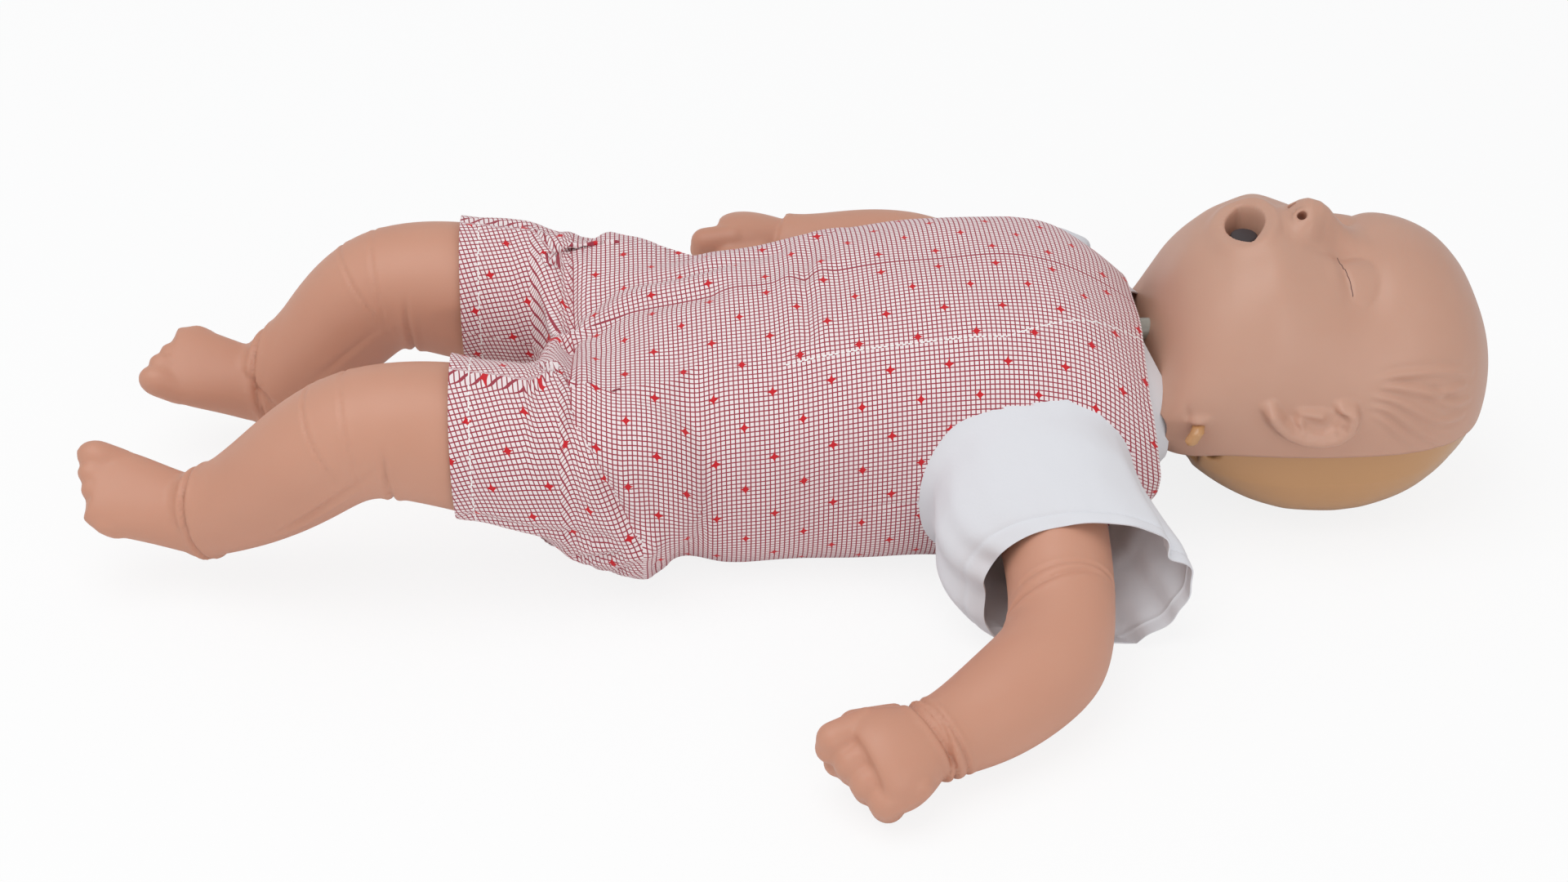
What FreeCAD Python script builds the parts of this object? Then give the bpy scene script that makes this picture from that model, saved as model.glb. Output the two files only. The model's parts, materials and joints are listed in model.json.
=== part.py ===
"""Infant airway training manikin, lying on its back, in millimetres.

X runs along the body with the head at +X, Y across it with the left side at -Y, and Z up.
The origin is on the floor under the middle of the trunk, in the flat back of the romper.
The trunk is a hollow tub with a chest cover, and holds a sprung chest plate and a lung bag.
The head is a skull of two shells with a soft face skin hooked over it, and tilts on a neck pin.
The arms and legs are hollow vinyl mouldings on snap-in collars, and a shirt and romper dress it.
"""

import FreeCAD
import Part

import os
from functools import lru_cache
from math import cos, pi, radians, sin

os.makedirs("parts", exist_ok=True)
Vector = FreeCAD.Vector

# Trunk: half width, lowest and highest point at each place along the body.
TRUNK_START = -86.0
TRUNK_END = 117.0
TRUNK_STATIONS = [
    (-86.0, 58.0, 1.0, 92.0),
    (-60.0, 66.0, -4.0, 97.0),
    (-20.0, 69.0, -5.0, 101.0),
    (25.0, 71.0, -6.0, 107.0),
    (65.0, 72.0, -6.0, 110.0),
    (95.0, 70.0, -3.0, 105.0),
    (109.0, 64.0, 4.0, 99.0),
    (117.0, 56.0, 12.0, 92.0),
]
TRUNK_POWER = 2.5
TRUNK_WALL = 3.0
PELVIS_END = -119.0
PELVIS_HALF_WIDTH = 24.0
PELVIS_LOW = 20.0
PELVIS_HIGH = 84.0
PELVIS_CORNER = 12.0
HIP_SOCKET_GAP = 0.6

# Clothes: each layer's thickness and the air between layers.
CLOTH = 1.0
CLOTH_GAP = 0.5
SEAM_GAP = 0.3
SHIRT_LIFT = CLOTH_GAP + CLOTH
ROMPER_LIFT = 2 * (CLOTH_GAP + CLOTH)

# Chest cover, its seat on the trunk and the joint line between them.
COVER_LINE = 62.0
COVER_START = -44.0
COVER_END = 104.0
COVER_GAP = 0.3
LIP_WALL = 1.8
LIP_RISE = 4.0
LIP_DROP = 6.0

# Chest plate on its spring and guide post.
CHEST_X = 40.0
PLATE_LENGTH = 84.0
PLATE_WIDTH = 80.0
PLATE_WALL = 3.0
PLATE_DEPTH = 14.0
PLATE_CORNER = 14.0
CHEST_ARCH_RADIUS = 112.0
CHEST_SLOPE_DEG = 1.5
BAG_LENGTH = 76.0
BAG_WIDTH = 70.0
BAG_WALL = 5.0
BAG_DEPTH = 8.6
BAG_CORNER = 16.0
POST_RADIUS = 8.0
POST_TOP = 52.0
POST_FLANGE_RADIUS = 24.0
POST_FLANGE_WALL = 4.0
STEM_BORE_GAP = 0.4
STEM_WALL = 3.0
STEM_LOW = 46.0
SEAT_RADIUS = 20.0
SEAT_DROP = 5.0
SPRING_RADIUS = 16.0
SPRING_WIRE = 1.2
SPRING_TURNS = 8

# Neck bracket, pin and screws.
PIVOT_X = 150.0
PIVOT_Z = 48.0
PIN_RADIUS = 4.0
PIN_RUNNING_GAP = 0.06
BRACKET_HALF_WIDTH = 24.0
BRACKET_THICK = 14.0
BRACKET_PLATE_WALL = 4.0
BRACKET_PLATE_HEIGHT = 30.0
BRACKET_PLATE_HALF_WIDTH = 34.0
BOSS_SIDE_GAP = 0.5
BOSS_WIDTH = 9.0
BOSS_RADIUS = 9.0
PIN_OVERHANG = 1.0
SCREW_RADIUS = 2.0
SCREW_HEAD_RADIUS = 4.0
SCREW_HEAD_HEIGHT = 2.4
SCREW_SPREAD = 29.0
SCREW_REACH = 9.0

# Head: half width, lowest and highest point at each place along the body.
HEAD_NECK_EDGE = 129.0
HEAD_STATIONS = [
    (118.0, 42.0, 44.0, 72.0),
    (126.0, 48.0, 37.0, 88.0),
    (137.0, 53.0, 27.0, 116.0),
    (150.0, 56.0, 16.0, 132.0),
    (170.0, 58.0, 5.0, 138.0),
    (190.0, 59.0, 1.0, 133.0),
    (210.0, 59.0, 0.0, 128.5),
    (232.0, 57.5, 1.5, 127.0),
    (250.0, 52.5, 7.0, 119.0),
    (263.0, 44.0, 17.0, 107.0),
    (272.0, 32.0, 30.0, 92.0),
    (277.0, 18.0, 44.0, 78.0),
]
HEAD_POWER = 2.08
SKIN_WALL = 3.0
SKIN_GAP = 0.3
SEAM_HEIGHT = 50.5
SEAM_DIP = 6.0
SEAM_DIP_LENGTH = 17.0
SKULL_WALL = 3.0
SKULL_LINE = 66.0
SKULL_START = 146.0
SKULL_LINE_GAP = 0.3
NAPE_RADIUS = 26.0
NAPE_HEIGHT = 18.0

# Face: mouth pocket, nose, eyelids and ears of the soft skin.
MOUTH_X = 165.2
MOUTH_LENGTH = 18.5
MOUTH_WIDTH = 27.0
MOUTH_WALL = 2.0
MOUTH_FLOOR = 110.0
MOUTH_RIM = 146.0
THROAT_SHRINK = 0.72
NOSE_X = 192.0
NOSE_TIP = 146.5
NOSE_RADIUS = 9.0
WING_SPREAD = 7.0
BRIDGE_HEIGHT = 124.0
BRIDGE_LENGTH = 34.0
NOSTRIL_RADIUS = 2.3
NOSTRIL_SPREAD = 4.8
EYE_X = 210.5
EYE_SPREAD = 27.5
EYELID_HEIGHT = 112.5
EAR_X = 188.0
EAR_Z = 68.0
EAR_LENGTH = 40.0
EAR_HEIGHT = 23.0
EAR_THICK = 11.0
EAR_RIM = 4.5
EAR_PROUD = 3.5
PEG_RADIUS = 2.8
PEG_SLOT_GAP = 0.5
PEG_INNER = (147.0, 50.0, 67.0)
PEG_KNEE = (145.5, 57.5, 65.0)
PEG_TIP = (138.5, 58.5, 53.5)

# Airway: plug in the mouth, throat collar and clear hose down to the lung bag.
PLUG_RADIUS = 5.8
PLUG_HEIGHT = 14.0
PLUG_OFFSET_Y = -1.0
HOSE_RADIUS = 5.0
HOSE_WALL = 1.2
HOSE_END_GAP = 0.3
HOSE_CHEST_X = 83.0
HOSE_NECK_X = 103.0
HOSE_NECK_Z = 80.0
HOSE_JOINT_X = 147.7
HOSE_HOLE_GAP = 0.3
BAG_NECK_RADIUS = 2.0
BAG_NECK_GAP = 1.5
HOSE_BEND = 10.0

# Arms: shoulder centre, arm line and radii for the left arm; the right arm swings nearer the body.
SHOULDER_X = 76.0
SHOULDER_Z = 50.0
SHOULDER_FACE = 63.0
SHOULDER_PAD_RADIUS = 27.0
SHOULDER_PAD_WALL = 3.0
ARM_COLLAR_RADIUS = 13.0
ARM_FLANGE_RADIUS = 17.0
ARM_FLANGE_WALL = 3.0
COLLAR_GAP = 0.4
ARM_LINE = [
    (76.0, 64.0, 50.0, 20.0),
    (76.0, 82.0, 47.0, 22.5),
    (77.0, 108.0, 41.0, 22.0),
    (76.0, 132.0, 33.0, 21.5),
    (69.0, 155.0, 27.0, 22.5),
    (52.0, 173.0, 24.0, 21.5),
    (36.0, 185.0, 22.0, 19.0),
    (23.0, 193.5, 22.0, 16.6),
    (17.5, 197.0, 22.5, 16.2),
]
RIGHT_ARM_TURN_DEG = 18.0
PALM_LENGTH = 33.0
PALM_HALF_WIDTH = 20.5
PALM_HALF_THICK = 15.0
FINGER_RADIUS = 6.9
INDEX_REACH = 16.0
CURL_DEPTH = 16.0
THUMB_RADIUS = 7.0
HAND_DROP = 0.5
HAND_FORWARD = (-0.88, 0.47, 0.0)
HAND_UP = (-0.15, 0.55, 0.82)

# Legs: hip axis, leg line and radii, then the foot.
HIP_X = -100.0
HIP_Z = 53.0
HIP_FACE = 27.0
HIP_CAP_RADIUS = 41.0
HIP_CAP_OUTER = 84.0
HIP_CAP_ROUND = 24.0
LEG_COLLAR_RADIUS = 11.0
LEG_FLANGE_RADIUS = 14.5
LEG_FLANGE_WALL = 3.0
LEG_LINE = [
    (-100.0, 54.0, 53.0, 32.0),
    (-133.0, 55.0, 65.0, 32.0),
    (-160.0, 56.0, 72.5, 30.5),
    (-185.0, 56.0, 77.0, 28.5),
    (-208.0, 56.0, 75.0, 26.8),
    (-226.0, 55.5, 64.5, 25.8),
    (-242.0, 53.5, 52.0, 23.8),
    (-260.0, 51.0, 40.0, 20.5),
    (-274.0, 48.0, 32.0, 18.0),
]
RIGHT_LEG_SHORTER = 19.0
FOOT_LENGTH = 38.0
FOOT_HALF_WIDTH = 18.0
FOOT_HALF_THICK = 13.0
HEEL_RADIUS = 16.0
FOOT_RISE_DEG = 24.0
LEFT_FOOT_ROLL_DEG = 32.0
RIGHT_FOOT_ROLL_DEG = -30.0
TOE_RADII = [7.0, 5.7, 5.3, 5.0, 4.7]
TOE_REACH = [5.5, 6.0, 5.0, 3.5, 1.5]
TOE_SPACING = 0.62

# Shirt sleeve ring and romper cut-outs.
SLEEVE_END = 116.0
SLEEVE_END_HALF_LENGTH = 50.0
SLEEVE_END_LOW = -8.0
SLEEVE_END_HIGH = 92.0
SLEEVE_ROOT = 69.0
SLEEVE_ROOT_RADIUS = 37.0
SHIRT_START = -50.0
NECK_HOLE_HALF_WIDTH = 40.0
NECK_HOLE_LOW = 24.0
NECK_HOLE_HIGH = 160.0
NECK_HOLE_CORNER = 12.0
NECK_HOLE_REACH = 110.0
ARMHOLE_X = 79.0
ARMHOLE_Z = 52.0
ARMHOLE_LENGTH = 84.0
ARMHOLE_HEIGHT = 88.0
ROMPER_LEG_HEM = -164.0
ROMPER_LEG_LIFT = 1.5


def closed_wire(points):
    """A smooth closed curve through points."""
    curve = Part.BSplineCurve()
    curve.interpolate(Points=points, PeriodicFlag=True)
    return Part.Wire([curve.toShape()])


def signed_power(value, power):
    """value raised to 2 / power with its sign kept, as a superellipse needs."""
    size = abs(value) ** (2.0 / power)
    return size if value >= 0 else -size


def cross_section(x, half_width, low, high, power, middle_y=0.0, count=18):
    """A rounded outline in the plane at x."""
    middle_z = (low + high) / 2
    half_height = (high - low) / 2
    points = []
    for i in range(count):
        angle = 2 * pi * (i + 0.5) / count
        y = middle_y + half_width * signed_power(cos(angle), power)
        z = middle_z + half_height * signed_power(sin(angle), power)
        points.append(Vector(x, y, z))
    return closed_wire(points)


def body_loft(stations, power, grow=0.0, end_grow=None):
    """A smooth solid through stations, each grown outwards all round."""
    end_grow = grow if end_grow is None else end_grow
    last = len(stations) - 1
    wires = []
    for i, (x, half_width, low, high) in enumerate(stations):
        place = x - end_grow if i == 0 else x + end_grow if i == last else x
        wires.append(cross_section(place, half_width + grow, low - grow, high + grow, power))
    return Part.makeLoft(wires, True, False)


def limb_loft(line, grow=0.0, count=16):
    """A round-sectioned solid along a line of (x, y, z, radius), with its sections square to it."""
    centres = [Vector(*p[:3]) for p in line]
    wires = []
    for i, (x, y, z, radius) in enumerate(line):
        before = centres[max(i - 1, 0)]
        after = centres[min(i + 1, len(line) - 1)]
        along = (after - before).normalize()
        side = along.cross(Vector(0, 0, 1)).normalize()
        top = side.cross(along)
        ring = []
        for k in range(count):
            angle = 2 * pi * k / count
            spoke = side * cos(angle) + top * sin(angle)
            ring.append(centres[i] + spoke * (radius + grow))
        wires.append(closed_wire(ring))
    return Part.makeLoft(wires, True, False)


def box(x0, x1, y0, y1, z0, z1):
    return Part.makeBox(x1 - x0, y1 - y0, z1 - z0, Vector(x0, y0, z0))


def cylinder(radius, start, end):
    axis = Vector(*end) - Vector(*start)
    return Part.makeCylinder(radius, axis.Length, Vector(*start), axis)


def ball(radius, centre):
    return Part.makeSphere(radius, Vector(*centre))


def capsule(radius, start, end):
    return cylinder(radius, start, end).multiFuse([ball(radius, start), ball(radius, end)])


def egg(centre, radii):
    """An ellipsoid with its axes along X, Y and Z."""
    matrix = FreeCAD.Matrix()
    matrix.scale(*radii)
    solid = Part.makeSphere(1.0).transformGeometry(matrix)
    solid.translate(Vector(*centre))
    return solid


def mirrored(shape):
    """The same shape on the other side of the body."""
    return shape.mirror(Vector(0, 0, 0), Vector(0, 1, 0))


def above_floor(shape, height):
    """What of shape is above a flat floor at height."""
    slab = box(-700, 700, -700, 700, height, 700)
    return shape.common(slab)


def one_solid(shape, name):
    """The shape as one solid, and a plain stop if it isn't one."""
    solids = shape.Solids
    if len(solids) != 1:
        sizes = [round(s.Volume, 1) for s in solids]
        print("note:", name, "has", len(solids), "solids", sizes)
        return max(solids, key=lambda s: s.Volume)
    return solids[0]


def hip_sockets(lift):
    """Round hollows either side of the pelvis that clear the hips of a layer at that lift."""
    radius = HIP_CAP_RADIUS + ROMPER_LEG_LIFT + HIP_SOCKET_GAP + ROMPER_LIFT - lift
    tools = []
    for side in (-1, 1):
        y0 = PELVIS_HALF_WIDTH + lift
        y1 = 150.0
        low_y, high_y = (y0, y1) if side > 0 else (-y1, -y0)
        tools.append(cylinder(radius, (HIP_X, low_y, HIP_Z), (HIP_X, high_y, HIP_Z)))
        tools.append(box(-300, HIP_X + radius * 0.75, low_y, high_y, HIP_Z + 20, 300))
        tools.append(box(-300, HIP_X + 14, low_y, high_y, -50, HIP_Z))
    return tools


@lru_cache(maxsize=None)
def trunk_form(grow):
    """The bare trunk's outer form with its pelvis, grown by a layer's lift."""
    torso = torso_form(grow)
    for tool in hip_sockets(grow):
        torso = torso.cut(tool)
    pelvis = box(
        PELVIS_END - grow,
        TRUNK_START + 30,
        -PELVIS_HALF_WIDTH - grow,
        PELVIS_HALF_WIDTH + grow,
        PELVIS_LOW - grow,
        PELVIS_HIGH + grow,
    )
    end_edges = []
    for edge in pelvis.Edges:
        across = abs(edge.tangentAt(edge.FirstParameter).y) > 0.9
        if across and edge.BoundBox.XMax < PELVIS_END - grow + 1:
            end_edges.append(edge)
    pelvis = pelvis.makeFillet(max(PELVIS_CORNER + grow, 1.0), end_edges)
    return torso.fuse(pelvis)


@lru_cache(maxsize=None)
def torso_form(grow):
    """The trunk's outer form without its pelvis."""
    return body_loft(TRUNK_STATIONS, TRUNK_POWER, grow)


def floor_of(lift):
    """Height of a layer's flat back when the romper lies on the floor."""
    return ROMPER_LIFT - lift


def cover_zone(gap, low):
    return box(COVER_START - gap, COVER_END + gap, -200, 200, low, 300)


def shoulder_cut(side, radius, start, end):
    """A round tool along the shoulder's axis, between two distances from the middle."""
    return cylinder(radius, (SHOULDER_X, side * start, SHOULDER_Z), (SHOULDER_X, side * end, SHOULDER_Z))


def make_trunk():
    """Hollow tub with arm, leg and neck seats, and an open top for the chest cover."""
    outer = above_floor(trunk_form(0), floor_of(0))
    inner = above_floor(trunk_form(-TRUNK_WALL), floor_of(0) + TRUNK_WALL)
    shell = outer.cut(inner)
    shell = shell.cut(cover_zone(COVER_GAP, COVER_LINE))
    lip_ring = torso_form(-TRUNK_WALL).cut(torso_form(-TRUNK_WALL - LIP_WALL))
    lip_low = lip_ring.common(
        box(COVER_START - LIP_DROP, COVER_END + LIP_DROP, -200, 200, COVER_LINE - LIP_DROP, COVER_LINE)
    )
    slim_ring = torso_form(-TRUNK_WALL - COVER_GAP).cut(torso_form(-TRUNK_WALL - LIP_WALL))
    lip_high = slim_ring.common(
        box(COVER_START + 1, COVER_END - 1, -200, 200, COVER_LINE - LIP_DROP, COVER_LINE + LIP_RISE)
    )
    shell = shell.multiFuse([lip_low, lip_high])
    solid_torso = torso_form(0).common(box(-300, 300, -200, 200, floor_of(0), COVER_LINE))
    for side in (-1, 1):
        pad = shoulder_cut(side, SHOULDER_PAD_RADIUS, SHOULDER_FACE - SHOULDER_PAD_WALL, SHOULDER_FACE + 40)
        pad = pad.common(solid_torso)
        recess = shoulder_cut(side, SHOULDER_PAD_RADIUS - SHOULDER_PAD_WALL, SHOULDER_FACE, SHOULDER_FACE + 40)
        hole = shoulder_cut(side, ARM_COLLAR_RADIUS + COLLAR_GAP, SHOULDER_FACE - 10, SHOULDER_FACE + 10)
        leg_hole = cylinder(
            LEG_COLLAR_RADIUS + COLLAR_GAP,
            (HIP_X, side * (PELVIS_HALF_WIDTH - 8), HIP_Z),
            (HIP_X, side * (PELVIS_HALF_WIDTH + 8), HIP_Z),
        )
        shell = shell.fuse(pad).cut(recess).cut(hole).cut(leg_hole)
    hose_hole = cylinder(
        HOSE_RADIUS + HOSE_HOLE_GAP, (TRUNK_END - 14, 0, HOSE_NECK_Z), (TRUNK_END + 8, 0, HOSE_NECK_Z)
    )
    shell = shell.cut(hose_hole)
    for side in (-1, 1):
        screw_hole = cylinder(
            SCREW_RADIUS, (TRUNK_END - 8, side * SCREW_SPREAD, PIVOT_Z), (TRUNK_END + 8, side * SCREW_SPREAD, PIVOT_Z)
        )
        shell = shell.cut(screw_hole)
    return one_solid(shell, "trunk_shell")


def make_chest_cover():
    """Soft cover that closes the trunk's open top."""
    shell = torso_form(0).cut(torso_form(-TRUNK_WALL))
    cover = shell.common(cover_zone(0, COVER_LINE + COVER_GAP))
    for side in (-1, 1):
        cover = cover.cut(shoulder_cut(side, SHOULDER_PAD_RADIUS + COVER_GAP, SHOULDER_FACE - 5, SHOULDER_FACE + 40))
    return one_solid(cover, "chest_cover")


def arched_sheet(depth, wall, length, width, corner):
    """An arched sheet with round corners, at a depth under the top of the chest."""
    top = highest_at(CHEST_X, -depth)
    middle = top - CHEST_ARCH_RADIUS
    x0 = CHEST_X - length / 2
    rod = cylinder(CHEST_ARCH_RADIUS, (x0, 0, middle), (x0 + length, 0, middle))
    bore = cylinder(CHEST_ARCH_RADIUS - wall, (x0, 0, middle), (x0 + length, 0, middle))
    block = box(x0, x0 + length, -width / 2, width / 2, middle, top + 10)
    upright = [e for e in block.Edges if abs(e.tangentAt(e.FirstParameter).z) > 0.9]
    sheet = rod.cut(bore).common(block.makeFillet(corner, upright))
    sheet.rotate(Vector(CHEST_X, 0, top), Vector(0, 1, 0), -CHEST_SLOPE_DEG)
    return sheet


def make_spring_post():
    """Guide post with a wide foot on the trunk's floor."""
    floor = floor_of(0) + TRUNK_WALL
    foot = cylinder(POST_FLANGE_RADIUS, (CHEST_X, 0, floor), (CHEST_X, 0, floor + POST_FLANGE_WALL))
    post = cylinder(POST_RADIUS, (CHEST_X, 0, floor), (CHEST_X, 0, POST_TOP))
    top_edge = [e for e in post.Edges if e.BoundBox.ZMin > POST_TOP - 0.1]
    return foot.fuse(post.makeChamfer(1.5, top_edge))


def plate_underside():
    """Height of the chest plate's underside over the guide post."""
    return highest_at(CHEST_X, -PLATE_DEPTH - PLATE_WALL)


def highest_at(x, grow):
    """Highest point of the grown trunk form at x, on the middle line."""
    stations = TRUNK_STATIONS
    for (x0, _, _, z0), (x1, _, _, z1) in zip(stations, stations[1:]):
        if x0 <= x <= x1:
            return z0 + (z1 - z0) * (x - x0) / (x1 - x0) + grow
    return stations[-1][3] + grow


def make_chest_plate():
    """Rib plate with a stem that slides on the guide post and a ring that seats the spring."""
    plate = arched_sheet(PLATE_DEPTH, PLATE_WALL, PLATE_LENGTH, PLATE_WIDTH, PLATE_CORNER)
    bore = POST_RADIUS + STEM_BORE_GAP
    top = plate_underside() + PLATE_WALL / 2
    stem = cylinder(bore + STEM_WALL, (CHEST_X, 0, STEM_LOW), (CHEST_X, 0, top))
    seat = cylinder(SEAT_RADIUS, (CHEST_X, 0, plate_underside() - SEAT_DROP), (CHEST_X, 0, top))
    hollow = cylinder(bore, (CHEST_X, 0, STEM_LOW - 1), (CHEST_X, 0, plate_underside() - 0.5))
    return one_solid(plate.multiFuse([stem, seat]).cut(hollow), "chest_plate")


def make_spring():
    """Coil spring between the post's foot and the plate's ring, wound as tilted half turns that meet smoothly."""
    low = floor_of(0) + TRUNK_WALL + POST_FLANGE_WALL + SPRING_WIRE + 0.1
    high = plate_underside() - SEAT_DROP - SPRING_WIRE - 0.1
    half_rise = (high - low) / SPRING_TURNS / 2
    halves = []
    for i in range(SPRING_TURNS * 2):
        side = 1 if i % 2 == 0 else -1
        start = Vector(CHEST_X + side * SPRING_RADIUS, 0, low + i * half_rise)
        end = Vector(CHEST_X - side * SPRING_RADIUS, 0, low + (i + 1) * half_rise)
        normal = (end - start).cross(Vector(0, -side, 0)).normalize()
        wire = Part.Wire([Part.Circle(start, Vector(0, 1, 0), SPRING_WIRE).toShape()])
        halves.append(Part.Face(wire).revolve((start + end) * 0.5, normal, 180))
    return one_solid(halves[0].multiFuse(halves[1:]), "chest_spring")


def make_lung_bag():
    """Flat bag that lies on the chest plate under the cover, with a neck towards the hose."""
    bag = arched_sheet(BAG_DEPTH, BAG_WALL, BAG_LENGTH, BAG_WIDTH, BAG_CORNER)
    end = CHEST_X + BAG_LENGTH / 2
    height = hose_points()[0].z
    neck = cylinder(BAG_NECK_RADIUS, (end - 4, 0, height), (HOSE_CHEST_X - BAG_NECK_GAP, 0, height))
    return one_solid(bag.fuse(neck), "lung_bag")


def hose_points():
    """Corner points of the hose from the lung bag to the head's throat tube."""
    chest_z = highest_at(HOSE_CHEST_X, -TRUNK_WALL - HOSE_RADIUS - 1.2)
    return [
        Vector(HOSE_CHEST_X, 0, chest_z),
        Vector(HOSE_CHEST_X + 12, 0, chest_z - 2),
        Vector(HOSE_NECK_X, 0, HOSE_NECK_Z),
        Vector(HOSE_JOINT_X, 0, HOSE_NECK_Z),
    ]


def rounded_path(points, radius):
    """Straight runs joined by tangent arcs."""
    edges = []
    start = points[0]
    for before, corner, after in zip(points, points[1:], points[2:]):
        back = (before - corner).normalize()
        ahead = (after - corner).normalize()
        opening = back.getAngle(ahead)
        cut = radius / abs(sin(opening / 2) / cos(opening / 2))
        enter = corner + back * cut
        leave = corner + ahead * cut
        bisector = (back + ahead).normalize()
        middle = corner + bisector * (radius / sin(opening / 2) - radius)
        edges.append(Part.LineSegment(start, enter).toShape())
        edges.append(Part.Arc(enter, middle, leave).toShape())
        start = leave
    edges.append(Part.LineSegment(start, points[-1]).toShape())
    return Part.Wire(edges)


def bent_tube(points):
    """A tube of the hose's size along straight runs and arcs."""
    path = rounded_path(points, HOSE_BEND)
    along = (points[1] - points[0]).normalize()
    solids = []
    for radius in (HOSE_RADIUS, HOSE_RADIUS - HOSE_WALL):
        circle = Part.Wire([Part.makeCircle(radius, points[0], along)])
        solids.append(path.makePipeShell([circle], True, False))
    return solids[0].cut(solids[1])


def make_hose():
    """Clear hose from the lung bag out through the trunk's neck end."""
    return one_solid(bent_tube(hose_points()), "airway_hose")


def make_throat_tube():
    """Clear tube in the head, from under the mouth to the hose's end."""
    points = [
        Vector(HOSE_JOINT_X + HOSE_END_GAP, 0, HOSE_NECK_Z),
        Vector(MOUTH_X, 0, HOSE_NECK_Z),
        Vector(MOUTH_X, 0, MOUTH_FLOOR - MOUTH_WALL - HOSE_END_GAP),
    ]
    return one_solid(bent_tube(points), "throat_tube")


def make_bracket():
    """Neck bracket: a plate on the trunk's end with a broad tongue out to the pin."""
    face = TRUNK_END
    low = PIVOT_Z - BRACKET_THICK / 2
    high = PIVOT_Z + BRACKET_THICK / 2
    plate = box(
        face,
        face + BRACKET_PLATE_WALL,
        -BRACKET_PLATE_HALF_WIDTH,
        BRACKET_PLATE_HALF_WIDTH,
        PIVOT_Z - BRACKET_PLATE_HEIGHT / 2,
        PIVOT_Z + BRACKET_PLATE_HEIGHT / 2,
    )
    tongue = box(face, PIVOT_X, -BRACKET_HALF_WIDTH, BRACKET_HALF_WIDTH, low, high)
    nose = cylinder(BRACKET_THICK / 2, (PIVOT_X, -BRACKET_HALF_WIDTH, PIVOT_Z), (PIVOT_X, BRACKET_HALF_WIDTH, PIVOT_Z))
    window = box(face + 10, PIVOT_X - 12, -BRACKET_HALF_WIDTH + 7, BRACKET_HALF_WIDTH - 7, low - 1, high + 1)
    bore = cylinder(PIN_RADIUS, (PIVOT_X, -60, PIVOT_Z), (PIVOT_X, 60, PIVOT_Z))
    bracket = plate.multiFuse([tongue, nose]).cut(window).cut(bore)
    for side in (-1, 1):
        hole = cylinder(SCREW_RADIUS, (face - 1, side * SCREW_SPREAD, PIVOT_Z), (face + 9, side * SCREW_SPREAD, PIVOT_Z))
        bracket = bracket.cut(hole)
    return one_solid(bracket, "neck_bracket")


def pin_half_length():
    return BRACKET_HALF_WIDTH + BOSS_SIDE_GAP + BOSS_WIDTH + PIN_OVERHANG


def make_pin():
    half = pin_half_length()
    pin = cylinder(PIN_RADIUS, (PIVOT_X, -half, PIVOT_Z), (PIVOT_X, half, PIVOT_Z))
    return pin.makeChamfer(0.6, [e for e in pin.Edges if e.Closed])


def make_screws():
    """Two pan-head screws that hold the bracket on the trunk."""
    screws = []
    for side in (-1, 1):
        y = side * SCREW_SPREAD
        face = TRUNK_END + BRACKET_PLATE_WALL
        shank = cylinder(SCREW_RADIUS, (face - SCREW_REACH, y, PIVOT_Z), (face, y, PIVOT_Z))
        head = cylinder(SCREW_HEAD_RADIUS, (face, y, PIVOT_Z), (face + SCREW_HEAD_HEIGHT, y, PIVOT_Z))
        slot = box(face + SCREW_HEAD_HEIGHT - 1, face + SCREW_HEAD_HEIGHT + 1, y - 5, y + 5, PIVOT_Z - 0.5, PIVOT_Z + 0.5)
        screws.append(shank.fuse(head).cut(slot))
    return Part.makeCompound(screws)


@lru_cache(maxsize=None)
def head_form(grow):
    """The head's outer form without nose or ears, grown or shrunk."""
    return body_loft(HEAD_STATIONS, HEAD_POWER, grow)


def seam_space():
    """Everything above the face skin's lower edge, which dips a little at the neck."""
    block = box(HEAD_NECK_EDGE, 400, -200, 200, SEAM_HEIGHT, 300)
    dip = box(HEAD_NECK_EDGE, HEAD_NECK_EDGE + SEAM_DIP_LENGTH, -200, 200, SEAM_HEIGHT - SEAM_DIP, SEAM_HEIGHT + 1)
    edge = [e for e in dip.Edges if e.BoundBox.XMin > HEAD_NECK_EDGE + 1 and e.BoundBox.ZMax < SEAM_HEIGHT]
    return block.fuse(dip.makeFillet(SEAM_DIP * 0.95, edge))


def mouth_outline(z, scale, grow):
    """The mouth's opening as an oval at height z."""
    points = []
    for i in range(16):
        angle = 2 * pi * i / 16
        x = MOUTH_X + (MOUTH_LENGTH / 2 * scale + grow) * cos(angle)
        y = (MOUTH_WIDTH / 2 * scale + grow) * sin(angle)
        points.append(Vector(x, y, z))
    return closed_wire(points)


def mouth_cone(grow, low, high):
    """A tapering oval plug the shape of the mouth's inside."""
    span = MOUTH_RIM - MOUTH_FLOOR
    wires = []
    for z in (low, (low + high) / 2, high):
        share = (z - MOUTH_FLOOR) / span
        wires.append(mouth_outline(z, THROAT_SHRINK + (1 - THROAT_SHRINK) * share, grow))
    return Part.makeLoft(wires, True, False)


def make_ear(side):
    """One ear of the face skin: an oval rim that stands off the head round a hollow."""
    y = side * (head_half_width(EAR_X) + EAR_PROUD - EAR_THICK / 2)
    rim = egg((EAR_X, y, EAR_Z), (EAR_LENGTH / 2, EAR_THICK / 2 + EAR_PROUD, EAR_HEIGHT / 2))
    hollow_y = side * (head_half_width(EAR_X) + EAR_PROUD + 2)
    hollow = egg(
        (EAR_X + 2, hollow_y, EAR_Z + 1),
        (EAR_LENGTH / 2 - EAR_RIM, 5.0, EAR_HEIGHT / 2 - EAR_RIM),
    )
    ear = rim.cut(hollow)
    ear.rotate(Vector(EAR_X, y, EAR_Z), Vector(0, 1, 0), 14)
    return ear


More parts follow.
